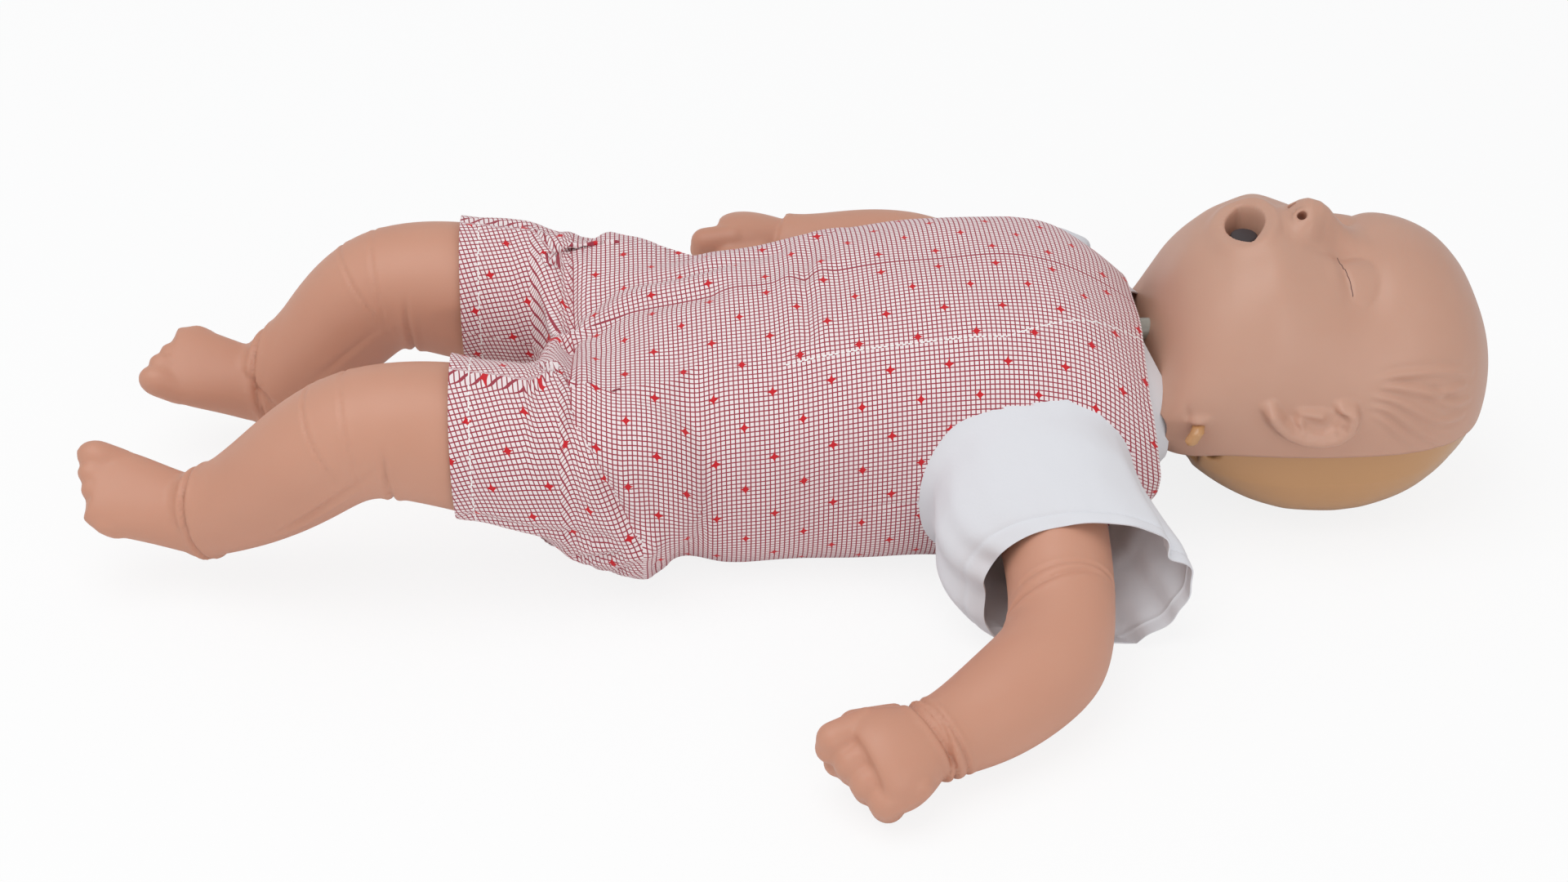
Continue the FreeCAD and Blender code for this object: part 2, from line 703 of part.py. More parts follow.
def head_half_width(x):
    for (x0, w0, _, _), (x1, w1, _, _) in zip(HEAD_STATIONS, HEAD_STATIONS[1:]):
        if x0 <= x <= x1:
            return w0 + (w1 - w0) * (x - x0) / (x1 - x0)
    return HEAD_STATIONS[-1][1]


def peg_points(side, grow=0.0):
    """The hooked peg's centre line on one side of the head."""
    return [(p[0], side * (p[1] + grow), p[2]) for p in (PEG_INNER, PEG_KNEE, PEG_TIP)]


def make_peg(side, grow):
    inner, knee, tip = peg_points(side)
    return capsule(PEG_RADIUS + grow, inner, knee).fuse(capsule(PEG_RADIUS + grow, knee, tip))


def make_face_skin():
    """Soft vinyl face: an open shell with nose, ears, eyelids, nostrils and a mouth pocket."""
    outer = head_form(0)
    nose = egg((NOSE_X, 0, NOSE_TIP - NOSE_RADIUS), (NOSE_RADIUS, NOSE_RADIUS - 1, NOSE_RADIUS))
    bridge = egg((NOSE_X + 11, 0, BRIDGE_HEIGHT), (BRIDGE_LENGTH / 2, 7.0, 8.0))
    features = [nose, bridge]
    for side in (-1, 1):
        features.append(egg((NOSE_X - 1, side * WING_SPREAD, NOSE_TIP - 12), (7.0, 5.5, 6.5)))
        features.append(egg((EYE_X, side * EYE_SPREAD, EYELID_HEIGHT), (8.5, 11.5, 11.5)))
        features.append(make_ear(side))
    skin = outer.multiFuse(features).cut(head_form(-SKIN_WALL))
    pocket = mouth_cone(MOUTH_WALL, MOUTH_FLOOR - MOUTH_WALL, MOUTH_RIM - 2).common(outer)
    skin = skin.fuse(pocket)
    skin = skin.cut(mouth_cone(0, MOUTH_FLOOR, MOUTH_RIM + 6))
    throat = cylinder(HOSE_RADIUS - HOSE_WALL, (MOUTH_X, 0, MOUTH_FLOOR - 12), (MOUTH_X, 0, MOUTH_FLOOR + 2))
    skin = skin.cut(throat)
    for side in (-1, 1):
        nostril = cylinder(
            NOSTRIL_RADIUS,
            (NOSE_X - 14, side * NOSTRIL_SPREAD, NOSE_TIP - 4),
            (NOSE_X + 6, side * NOSTRIL_SPREAD * 0.8, NOSE_TIP - 20),
        )
        skin = skin.cut(nostril)
        skin = skin.cut(make_peg(side, PEG_SLOT_GAP))
    skin = skin.common(seam_space())
    return one_solid(skin, "face_skin")


def skull_ring():
    """The skull's wall all round, inside the face skin."""
    drop = SKIN_WALL + SKIN_GAP
    return head_form(-drop).cut(head_form(-drop - SKULL_WALL))


def make_front_skull():
    """Hard front shell that carries the face skin and the jaw."""
    shell = skull_ring()
    shell = shell.common(box(HEAD_NECK_EDGE + 1.5, 300, -200, 200, SKULL_LINE + SKULL_LINE_GAP, 300))
    shell = shell.cut(mouth_cone(MOUTH_WALL + 0.6, MOUTH_FLOOR - 12, MOUTH_RIM + 6))
    for side in (-1, 1):
        shell = shell.cut(make_peg(side, PEG_SLOT_GAP))
        shell = shell.cut(
            cylinder(
                NOSTRIL_RADIUS + 1,
                (NOSE_X - 14, side * NOSTRIL_SPREAD, NOSE_TIP - 4),
                (NOSE_X + 6, side * NOSTRIL_SPREAD * 0.8, NOSE_TIP - 20),
            )
        )
    return one_solid(shell, "front_skull")


def make_back_skull():
    """Hard back shell with the neck bosses and the hooked pegs that hold the face skin."""
    drop = SKIN_WALL + SKIN_GAP
    shell = skull_ring()
    shell = shell.common(box(SKULL_START - 20, 300, -200, 200, -50, SKULL_LINE))
    lower_front = box(0, SKULL_START, -200, 200, -50, SEAM_HEIGHT + 1)
    shell = shell.cut(lower_front)
    nape = ball(NAPE_RADIUS, (SKULL_START, 0, NAPE_HEIGHT))
    shell = shell.cut(nape)
    inside = head_form(-drop - SKULL_WALL / 2)
    for side in (-1, 1):
        y0 = side * (BRACKET_HALF_WIDTH + BOSS_SIDE_GAP)
        y1 = side * (BRACKET_HALF_WIDTH + BOSS_SIDE_GAP + BOSS_WIDTH)
        low_y, high_y = min(y0, y1), max(y0, y1)
        boss = cylinder(BOSS_RADIUS, (PIVOT_X, y0, PIVOT_Z), (PIVOT_X, y1, PIVOT_Z))
        rib = box(PIVOT_X - BOSS_RADIUS + 2, PIVOT_X + BOSS_RADIUS, low_y, high_y, -20, PIVOT_Z)
        shell = shell.fuse(boss.fuse(rib).common(inside))
        peg = make_peg(side, 0)
        shell = shell.fuse(peg)
    bore = cylinder(PIN_RADIUS + PIN_RUNNING_GAP, (PIVOT_X, -60, PIVOT_Z), (PIVOT_X, 60, PIVOT_Z))
    return one_solid(shell.cut(bore), "back_skull")


def make_plug():
    """Dark rubber plug that stands in the mouth pocket as the obstruction."""
    low = (MOUTH_X, PLUG_OFFSET_Y, MOUTH_FLOOR + 0.1)
    high = (MOUTH_X, PLUG_OFFSET_Y, MOUTH_FLOOR + 0.1 + PLUG_HEIGHT)
    plug = cylinder(PLUG_RADIUS, low, high)
    return plug.makeFillet(1.2, [e for e in plug.Edges if e.Closed])


def local_frame(origin, forward, up):
    """A placement whose X is forward and whose Z is up, as nearly as can be."""
    f = Vector(*forward).normalize()
    u = Vector(*up)
    u = (u - f * u.dot(f)).normalize()
    s = u.cross(f)
    matrix = FreeCAD.Matrix(
        f.x, s.x, u.x, origin[0], f.y, s.y, u.y, origin[1], f.z, s.z, u.z, origin[2], 0, 0, 0, 1
    )
    return FreeCAD.Placement(matrix)


def make_hand():
    """A left fist along +X with its back up: thumb side at -Y, index finger held out."""
    palm_rings = []
    for share, width, thick in (
        (-0.06, 0.62, 0.86),
        (0.15, 0.80, 0.96),
        (0.45, 1.0, 1.05),
        (0.75, 1.0, 1.0),
        (0.92, 0.86, 0.82),
    ):
        palm_rings.append(
            cross_section(
                PALM_LENGTH * share,
                PALM_HALF_WIDTH * width,
                -PALM_HALF_THICK * thick,
                PALM_HALF_THICK * thick,
                2.2,
                count=16,
            )
        )
    hand = Part.makeLoft(palm_rings, True, False)
    pieces = []
    spacing = PALM_HALF_WIDTH * 2 / 4
    knuckle = PALM_LENGTH * 0.83
    for i in range(1, 4):
        y = (-PALM_HALF_WIDTH + spacing * (i + 0.5)) * 0.92
        setback = 1.2 * i * i * 0.5
        root = (knuckle - setback - 6, y, PALM_HALF_THICK * 0.30)
        bend = (knuckle - setback + 6.5, y, 0.0)
        tip = (knuckle - setback + 2, y * 0.96, -CURL_DEPTH * 0.6)
        pieces.append(capsule(FINGER_RADIUS, root, bend))
        pieces.append(capsule(FINGER_RADIUS, bend, tip))
    y = -PALM_HALF_WIDTH + spacing * 0.55
    index_root = (knuckle - 6, y, PALM_HALF_THICK * 0.25)
    index_middle = (knuckle + INDEX_REACH * 0.5, y - 0.5, 1.0)
    index_tip = (knuckle + INDEX_REACH - FINGER_RADIUS, y + 1.0, -2.5)
    pieces.append(capsule(FINGER_RADIUS, index_root, index_middle))
    pieces.append(capsule(FINGER_RADIUS - 0.7, index_middle, index_tip))
    thumb_root = (PALM_LENGTH * 0.28, -PALM_HALF_WIDTH * 0.72, -3.0)
    thumb_middle = (PALM_LENGTH * 0.66, -PALM_HALF_WIDTH * 0.92, -6.0)
    thumb_tip = (PALM_LENGTH * 0.98, -PALM_HALF_WIDTH * 0.5, -CURL_DEPTH * 0.72)
    pieces.append(capsule(THUMB_RADIUS, thumb_root, thumb_middle))
    pieces.append(capsule(THUMB_RADIUS - 1.0, thumb_middle, thumb_tip))
    return hand.multiFuse(pieces)


def turned(vector, degrees_now):
    """A vector turned about the upright axis."""
    c = cos(radians(degrees_now))
    s = sin(radians(degrees_now))
    return (vector[0] * c - vector[1] * s, vector[0] * s + vector[1] * c, vector[2])


def arm_line(side):
    """The arm's centre line; the right one is moulded with its hand nearer the hip."""
    if side < 0:
        return ARM_LINE
    line = []
    root = ARM_LINE[0]
    for i, (x, y, z, radius) in enumerate(ARM_LINE):
        share = min(max((y - 104.0) / 34.0, 0.0), 1.0)
        dx, dy, _ = turned((x - root[0], y - root[1], 0), RIGHT_ARM_TURN_DEG * share)
        line.append((root[0] + dx, root[1] + dy, z, radius))
    return line


def make_arm(side):
    """One hollow vinyl arm as a moulding: collar and flange, upper arm, forearm and fist."""
    line = arm_line(side)
    turn = RIGHT_ARM_TURN_DEG if side > 0 else 0.0
    arm = limb_loft(line)
    wrist = line[-1]
    hand = make_hand().mirror(Vector(0, 0, 0), Vector(0, 1, 0))
    hand.Placement = local_frame(
        (wrist[0], wrist[1], wrist[2] - HAND_DROP), turned(HAND_FORWARD, turn), turned(HAND_UP, turn)
    ).multiply(hand.Placement)
    shoulder_cap = ball(ARM_LINE[0][3] - 0.5, (SHOULDER_X, SHOULDER_FACE + ARM_LINE[0][3] - 3.0, SHOULDER_Z))
    collar = cylinder(
        ARM_COLLAR_RADIUS,
        (SHOULDER_X, SHOULDER_FACE - SHOULDER_PAD_WALL - COLLAR_GAP - ARM_FLANGE_WALL, SHOULDER_Z),
        (SHOULDER_X, SHOULDER_FACE + 6, SHOULDER_Z),
    )
    flange = cylinder(
        ARM_FLANGE_RADIUS,
        (SHOULDER_X, SHOULDER_FACE - SHOULDER_PAD_WALL - COLLAR_GAP - ARM_FLANGE_WALL, SHOULDER_Z),
        (SHOULDER_X, SHOULDER_FACE - SHOULDER_PAD_WALL - COLLAR_GAP, SHOULDER_Z),
    )
    inner_side = box(-300, 300, -300, SHOULDER_FACE + COLLAR_GAP, -300, 300)
    limb = arm.multiFuse([hand, shoulder_cap]).cut(inner_side)
    limb = limb.multiFuse([collar, flange])
    return one_solid(limb if side > 0 else mirrored(limb), "arm")


def make_foot():
    """A left foot along +X from its heel, with its top up and its big toe at -Y."""
    rings = []
    for share, width, low, high in (
        (-0.18, 0.50, -0.45, 0.55),
        (0.0, 0.80, -1.0, 0.95),
        (0.35, 0.90, -1.1, 1.0),
        (0.7, 1.0, -0.95, 0.75),
        (0.95, 0.98, -0.75, 0.5),
        (1.04, 0.86, -0.6, 0.36),
    ):
        rings.append(
            cross_section(
                FOOT_LENGTH * share,
                FOOT_HALF_WIDTH * width,
                FOOT_HALF_THICK * low,
                FOOT_HALF_THICK * high,
                2.2,
                count=16,
            )
        )
    foot = Part.makeLoft(rings, True, False)
    toes = []
    y = -FOOT_HALF_WIDTH + TOE_RADII[0] * 0.85
    for i, radius in enumerate(TOE_RADII):
        root = (FOOT_LENGTH * 0.9 - i * 1.2, y, -2.0)
        tip = (FOOT_LENGTH * 0.93 + TOE_REACH[i] - i * 1.2, y, -1.0)
        toes.append(capsule(radius, root, tip))
        if i + 1 < len(TOE_RADII):
            y += (radius + TOE_RADII[i + 1]) * TOE_SPACING
    return foot.multiFuse(toes)


def leg_line(side):
    """The leg's centre line, with the right leg drawn in a little at its foot."""
    if side < 0:
        return LEG_LINE
    length = HIP_X - LEG_LINE[-1][0]
    line = []
    for x, y, z, radius in LEG_LINE:
        share = max(0.0, (HIP_X - x) / length - 0.45) / 0.55
        line.append((x + RIGHT_LEG_SHORTER * share, y, z, radius))
    return line


def make_leg(side):
    """One hollow vinyl leg as a moulding: collar and flange, thigh, calf and foot."""
    line = leg_line(side)
    roll = radians(LEFT_FOOT_ROLL_DEG if side < 0 else RIGHT_FOOT_ROLL_DEG)
    rise = radians(FOOT_RISE_DEG)
    leg = limb_loft(line)
    ankle = line[-1]
    heel = ball(HEEL_RADIUS, (ankle[0] + 1, ankle[1], ankle[2] - 3))
    foot = make_foot().mirror(Vector(0, 0, 0), Vector(0, 1, 0))
    forward = (-cos(rise), -0.02, sin(rise))
    top = (sin(rise) * cos(roll), sin(roll), cos(rise) * cos(roll))
    foot.Placement = local_frame((ankle[0] + 2, ankle[1], ankle[2] - 3), forward, top).multiply(foot.Placement)
    cap = cylinder(HIP_CAP_RADIUS, (HIP_X, HIP_FACE + COLLAR_GAP, HIP_Z), (HIP_X, HIP_CAP_OUTER, HIP_Z))
    cap = cap.makeFillet(HIP_CAP_ROUND, [e for e in cap.Edges if e.Closed and e.BoundBox.YMin > HIP_CAP_OUTER - 1])
    cap = cap.makeFillet(5.0, [e for e in cap.Edges if e.Closed and e.BoundBox.YMax < HIP_FACE + 2])
    inner_side = box(-400, 300, -300, HIP_FACE + COLLAR_GAP, -300, 300)
    inner = PELVIS_HALF_WIDTH - TRUNK_WALL - COLLAR_GAP
    collar = cylinder(LEG_COLLAR_RADIUS, (HIP_X, inner - LEG_FLANGE_WALL, HIP_Z), (HIP_X, HIP_FACE + 8, HIP_Z))
    flange = cylinder(LEG_FLANGE_RADIUS, (HIP_X, inner - LEG_FLANGE_WALL, HIP_Z), (HIP_X, inner, HIP_Z))
    limb = leg.multiFuse([heel, foot, cap]).cut(inner_side)
    limb = limb.multiFuse([collar, flange])
    return one_solid(limb if side > 0 else mirrored(limb), "leg")


def neck_hole():
    """The clear way through the clothes for the neck."""
    opening = box(
        NECK_HOLE_REACH,
        TRUNK_END + 40,
        -NECK_HOLE_HALF_WIDTH,
        NECK_HOLE_HALF_WIDTH,
        NECK_HOLE_LOW,
        NECK_HOLE_HIGH,
    )
    edges = []
    for edge in opening.Edges:
        along = abs(edge.tangentAt(edge.FirstParameter).x) > 0.9
        if along and edge.BoundBox.ZMax < NECK_HOLE_LOW + 1:
            edges.append(edge)
    return opening.makeFillet(NECK_HOLE_CORNER, edges)


def shoulder_bore(radius):
    """Round tools that clear both arms' shoulders through the clothes."""
    return [shoulder_cut(side, radius, SHOULDER_FACE - 30, SHOULDER_FACE + 60) for side in (-1, 1)]


def make_shirt():
    """The shirt's body between the trunk and the romper."""
    outer = above_floor(torso_form(SHIRT_LIFT), floor_of(SHIRT_LIFT))
    inner = above_floor(torso_form(CLOTH_GAP), floor_of(CLOTH_GAP))
    shirt = outer.cut(inner)
    shirt = shirt.cut(box(-300, SHIRT_START, -200, 200, -50, 300))
    shirt = shirt.cut(neck_hole())
    for tool in shoulder_bore(SLEEVE_ROOT_RADIUS - 8):
        shirt = shirt.cut(tool)
    return one_solid(shirt, "shirt_body")


def sleeve_wire(y, half_length, low, high):
    """One oval ring of the sleeve, square to Y."""
    points = []
    middle_z = (low + high) / 2
    half_height = (high - low) / 2
    for i in range(20):
        angle = 2 * pi * i / 20
        points.append(Vector(SHOULDER_X + half_length * cos(angle), y, middle_z + half_height * sin(angle)))
    return closed_wire(points)


def make_sleeve(side):
    """A short wide sleeve that flares round the upper arm."""
    root_y = SLEEVE_ROOT + SHIRT_LIFT
    rings = [
        (root_y - 22, SLEEVE_ROOT_RADIUS - 5, SHOULDER_Z - SLEEVE_ROOT_RADIUS + 7, SHOULDER_Z + SLEEVE_ROOT_RADIUS - 3),
        (root_y, SLEEVE_ROOT_RADIUS - 4, SHOULDER_Z - SLEEVE_ROOT_RADIUS + 6, SHOULDER_Z + SLEEVE_ROOT_RADIUS - 2),
        (root_y + 16, SLEEVE_ROOT_RADIUS + 3, SHOULDER_Z - SLEEVE_ROOT_RADIUS - 6, SHOULDER_Z + SLEEVE_ROOT_RADIUS),
        (SLEEVE_END - 12, SLEEVE_END_HALF_LENGTH - 2, SLEEVE_END_LOW + 1, SLEEVE_END_HIGH + 2),
        (SLEEVE_END, SLEEVE_END_HALF_LENGTH, SLEEVE_END_LOW, SLEEVE_END_HIGH),
    ]
    outer = Part.makeLoft([sleeve_wire(*ring) for ring in rings], True, False)
    shrunk = [(y, half - CLOTH, low + CLOTH, high - CLOTH) for y, half, low, high in rings]
    shrunk[0] = (root_y - 23,) + shrunk[0][1:]
    shrunk[-1] = (SLEEVE_END + 1,) + shrunk[-1][1:]
    inner = Part.makeLoft([sleeve_wire(*ring) for ring in shrunk], True, False)
    sleeve = above_floor(outer, 0.0).cut(above_floor(inner, CLOTH))
    sleeve = sleeve.cut(torso_form(SHIRT_LIFT + SEAM_GAP))
    return one_solid(sleeve if side > 0 else mirrored(sleeve), "sleeve")


def make_romper():
    """The romper's body: a sleeveless checked shell with armholes, neck and a gusset between the legs."""
    outer = above_floor(trunk_form(ROMPER_LIFT), 0.0)
    inner = above_floor(trunk_form(ROMPER_LIFT - CLOTH), CLOTH)
    romper = outer.cut(inner)
    romper = romper.cut(neck_hole())
    for side in (-1, 1):
        tool = egg((ARMHOLE_X, side * 75.0, ARMHOLE_Z), (ARMHOLE_LENGTH / 2, 30.0, ARMHOLE_HEIGHT / 2))
        romper = romper.cut(tool)
        hip = cylinder(
            LEG_COLLAR_RADIUS + COLLAR_GAP + 1,
            (HIP_X, side * (PELVIS_HALF_WIDTH - 2), HIP_Z),
            (HIP_X, side * (PELVIS_HALF_WIDTH + 12), HIP_Z),
        )
        romper = romper.cut(hip)
    return one_solid(romper, "romper_body")


def make_romper_leg(side):
    """One leg of the romper: a tube over the thigh with a rounded top at the hip."""
    line = [p for p in leg_line(side)]
    lift = ROMPER_LEG_LIFT
    outer_cap = cylinder(HIP_CAP_RADIUS + lift, (HIP_X, HIP_FACE + COLLAR_GAP, HIP_Z), (HIP_X, HIP_CAP_OUTER + lift, HIP_Z))
    outer_cap = outer_cap.makeFillet(
        HIP_CAP_ROUND + 1.0, [e for e in outer_cap.Edges if e.Closed and e.BoundBox.YMin > HIP_CAP_OUTER - 1]
    )
    inner_cap = cylinder(
        HIP_CAP_RADIUS + lift - CLOTH, (HIP_X, HIP_FACE - 5, HIP_Z), (HIP_X, HIP_CAP_OUTER + lift - CLOTH, HIP_Z)
    )
    inner_cap = inner_cap.makeFillet(
        HIP_CAP_ROUND + 0.2, [e for e in inner_cap.Edges if e.Closed and e.BoundBox.YMin > HIP_CAP_OUTER - 1]
    )
    outer = limb_loft(line, lift).fuse(outer_cap)
    inner = limb_loft(line, lift - CLOTH).fuse(inner_cap)
    tube = outer.cut(inner)
    tube = tube.cut(box(-500, ROMPER_LEG_HEM, -300, 300, -300, 300))
    tube = tube.cut(box(-500, 300, -300, HIP_FACE + COLLAR_GAP, -300, 300))
    return one_solid(tube if side > 0 else mirrored(tube), "romper_leg")


def save(name, shape):
    shape.exportStep(os.path.join("parts", name + ".step"))
    box_now = shape.BoundBox
    print(
        f"{name:22s} solids {len(shape.Solids)} valid {shape.isValid()} vol {shape.Volume:10.0f}"
        f"  x {box_now.XMin:7.1f} {box_now.XMax:7.1f}  y {box_now.YMin:7.1f} {box_now.YMax:7.1f}"
        f"  z {box_now.ZMin:6.1f} {box_now.ZMax:6.1f}"
    )


def main():
    save("trunk_shell", make_trunk())
    save("chest_cover", make_chest_cover())
    save("spring_post", make_spring_post())
    save("chest_plate", make_chest_plate())
    save("chest_spring", make_spring())
    save("lung_bag", make_lung_bag())
    save("airway_hose", make_hose())
    save("throat_tube", make_throat_tube())
    save("neck_bracket", make_bracket())
    save("neck_pin", make_pin())
    save("neck_screws", make_screws())
    save("face_skin", make_face_skin())
    save("front_skull", make_front_skull())
    save("back_skull", make_back_skull())
    save("airway_plug", make_plug())
    for side, word in ((-1, "left"), (1, "right")):
        save(word + "_arm", make_arm(side))
        save(word + "_leg", make_leg(side))
        save(word + "_sleeve", make_sleeve(side))
        save("romper_leg_" + word, make_romper_leg(side))
    save("shirt_body", make_shirt())
    save("romper_body", make_romper())


main()
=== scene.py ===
"""The looks of an infant airway training manikin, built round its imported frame."""

import json
import math

import bmesh
import bpy
import numpy as np
from mathutils import Matrix, Vector

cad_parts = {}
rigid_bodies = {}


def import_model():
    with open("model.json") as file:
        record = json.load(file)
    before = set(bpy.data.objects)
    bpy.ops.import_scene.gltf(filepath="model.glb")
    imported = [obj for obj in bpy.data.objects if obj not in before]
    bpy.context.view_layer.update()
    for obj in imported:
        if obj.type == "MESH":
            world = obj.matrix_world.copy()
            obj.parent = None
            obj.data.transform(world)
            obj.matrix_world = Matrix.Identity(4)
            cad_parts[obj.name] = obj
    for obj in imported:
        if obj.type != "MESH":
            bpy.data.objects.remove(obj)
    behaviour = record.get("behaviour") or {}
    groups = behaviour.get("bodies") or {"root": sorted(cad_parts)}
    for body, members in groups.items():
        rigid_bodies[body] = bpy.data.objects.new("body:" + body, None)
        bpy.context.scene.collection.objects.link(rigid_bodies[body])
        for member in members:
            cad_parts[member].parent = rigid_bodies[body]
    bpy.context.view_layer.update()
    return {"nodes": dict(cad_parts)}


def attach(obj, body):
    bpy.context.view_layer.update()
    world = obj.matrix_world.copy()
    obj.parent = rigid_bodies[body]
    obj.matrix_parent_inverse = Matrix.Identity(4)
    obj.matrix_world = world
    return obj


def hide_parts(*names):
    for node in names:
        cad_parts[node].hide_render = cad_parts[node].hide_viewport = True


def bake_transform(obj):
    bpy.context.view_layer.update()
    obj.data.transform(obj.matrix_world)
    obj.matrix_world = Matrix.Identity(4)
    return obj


for old in list(bpy.data.objects):
    bpy.data.objects.remove(old)
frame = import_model()


# Camera: at the manikin's left side, about 1.3 m off and well above the floor, level from side to side.
# Its place and lens come from the photograph's own perspective.
camera_turn = math.radians(-3.0)
camera_height = math.radians(35.0)
camera_place = (-0.082455, -1.033201, 0.751603)
to_camera = Vector(
    (
        math.sin(camera_turn) * math.cos(camera_height),
        -math.cos(camera_turn) * math.cos(camera_height),
        math.sin(camera_height),
    )
)
camera_right = Vector((math.cos(camera_turn), math.sin(camera_turn), 0.0))
camera_up = to_camera.cross(camera_right)
lens = bpy.data.cameras.new("camera")
lens.lens = 66.33
lens.sensor_width = 36.0
lens.clip_start = 0.02
camera = bpy.data.objects.new("camera", lens)
bpy.context.scene.collection.objects.link(camera)
axes = Matrix((camera_right, camera_up, to_camera)).transposed()
camera.matrix_world = Matrix.Translation(camera_place) @ axes.to_4x4()
bpy.context.scene.camera = camera
bpy.context.scene.view_settings.view_transform = "Standard"


# Floor and light: a plain white sweep that keeps the manikin's soft shadow, a broad lamp overhead on the
# left, a weaker one from the camera's side, and an even pale surround.
def linear(colour):
    """A web colour as linear light."""
    values = []
    for start in (1, 3, 5):
        part = int(colour[start : start + 2], 16) / 255
        values.append(part / 12.92 if part <= 0.04045 else ((part + 0.055) / 1.055) ** 2.4)
    return (*values, 1.0)


def new_material(name):
    """A material with an empty node tree, ready for nodes."""
    material = bpy.data.materials.new(name)
    material.use_nodes = True
    material.node_tree.nodes.clear()
    return material, material.node_tree


def add_node(tree, kind, *ordered, sockets=None, **settings):
    """Adds a node with its settings and links, and gives its first output in use. ordered fills its sockets
    in turn and sockets names others; each takes a plain value or another node's output."""
    node = tree.nodes.new("ShaderNode" + kind)
    for name, value in settings.items():
        setattr(node, name, value)
    for place, value in [*enumerate(ordered), *(sockets or {}).items()]:
        if isinstance(value, bpy.types.NodeSocket):
            tree.links.new(value, node.inputs[place])
        else:
            node.inputs[place].default_value = value
    return next((output for output in node.outputs if output.enabled), node)


bpy.ops.mesh.primitive_plane_add(size=12.0, location=(0.0, 0.0, -0.0004))
floor = bpy.context.object
floor.name = "floor"
plain_white = (1.0, 1.0, 1.0, 1.0)
# Matte white sweep: it glows a little to the camera, so that the paper stays white round a soft shadow.
floor_material, tree = new_material("floor_white")
diffuse = add_node(tree, "BsdfDiffuse", linear("#F6F6F6"))
glow = add_node(tree, "Emission", plain_white, 1.0)
glow_share = add_node(tree, "Math", add_node(tree, "LightPath"), 0.84, operation="MULTIPLY")
add_node(tree, "OutputMaterial", add_node(tree, "MixShader", glow_share, diffuse, glow))
floor.data.materials.append(floor_material)

world = bpy.data.worlds.new("surround")
bpy.context.scene.world = world
world.use_nodes = True
tree = world.node_tree
tree.nodes.clear()
even = add_node(tree, "Background", linear("#F4F6F8"), 0.62)
seen = add_node(tree, "Background", plain_white, 1.0)
add_node(tree, "OutputWorld", add_node(tree, "MixShader", add_node(tree, "LightPath"), even, seen))


def soft_lamp(name, place, aim, size, watts):
    """A square lamp at a place, turned towards a point."""
    data = bpy.data.lights.new(name, "AREA")
    data.size = size
    data.energy = watts
    lamp = bpy.data.objects.new(name, data)
    lamp.location = place
    lamp.rotation_euler = (Vector(aim) - Vector(place)).to_track_quat("-Z", "Y").to_euler()
    bpy.context.scene.collection.objects.link(lamp)


soft_lamp("overhead", (-0.5, -0.3, 1.7), (0.0, 0.0, 0.05), 1.4, 13.0)
soft_lamp("camera_side", (0.7, -1.9, 0.9), (0.0, 0.0, 0.05), 1.2, 7.0)


# Face skin: soft peach vinyl, cast in one piece with nose, ears, closed lids and modelled hair.
# It is an open mask 2.2 mm thick that hooks over the skull, and its mouth is a moulded pocket.
def reach_along(line):
    """How far along a line each of its points is."""
    return np.concatenate(([0.0], np.cumsum(np.linalg.norm(np.diff(line, axis=0), axis=1))))


def between_rows(places, rows, fine):
    """Rows at fine places, on one smooth curve through the given rows."""
    slope = np.gradient(rows, places, axis=0)
    at = np.clip(np.searchsorted(places, fine, side="right") - 1, 0, len(places) - 2)
    wide = (len(fine),) + (1,) * (rows.ndim - 1)
    span = (places[at + 1] - places[at]).reshape(wide)
    s = (fine - places[at]).reshape(wide) / span
    return (
        rows[at] * (2 * s**3 - 3 * s**2 + 1)
        + slope[at] * span * (s**3 - 2 * s**2 + s)
        + rows[at + 1] * (-2 * s**3 + 3 * s**2)
        + slope[at + 1] * span * (s**3 - s**2)
    )


def smooth_curve(rows, steps=700):
    """Rows of numbers joined by one smooth curve, as many fine rows."""
    rows = np.array(rows, float)
    reach = reach_along(rows)
    return between_rows(reach, rows, np.linspace(0.0, reach[-1], steps))


def crowded(curve, count, crowd=None):
    """count rows picked along a fine curve, closer together where crowd is larger."""
    steps = np.linalg.norm(np.diff(curve, axis=0), axis=1)
    if crowd is not None:
        steps = steps * crowd(curve[:-1])
    total = np.concatenate(([0.0], np.cumsum(steps)))
    places = np.linspace(0.0, total[-1], count)
    return np.stack([np.interp(places, total, column) for column in curve.T], axis=1)


def rounded(value, power):
    """A sine or cosine reshaped to a superellipse."""
    return np.sign(value) * np.abs(value) ** (2.0 / power)


def hill(x, y, middle_x, middle_y, wide_x, wide_y, power=2.0):
    """A smooth hill of height one."""
    return np.exp(-(np.abs((x - middle_x) / wide_x) ** power) - np.abs((y - middle_y) / wide_y) ** power)


def distance_to_path(x, y, path):
    """How far each point of a plane is from a bent line."""
    best = np.full(np.shape(x), 1e9)
    for (x0, y0), (x1, y1) in zip(path, path[1:]):
        dx, dy = x1 - x0, y1 - y0
        t = np.clip(((x - x0) * dx + (y - y0) * dy) / (dx * dx + dy * dy), 0.0, 1.0)
        best = np.minimum(best, np.hypot(x - x0 - t * dx, y - y0 - t * dy))
    return best


def grid_normals(points):
    """Outward directions on a grid of points."""
    along = np.gradient(points, axis=0)
    across = np.gradient(points, axis=1)
    normal = np.cross(along, across)
    return normal / np.maximum(np.linalg.norm(normal, axis=2, keepdims=True), 1e-9)


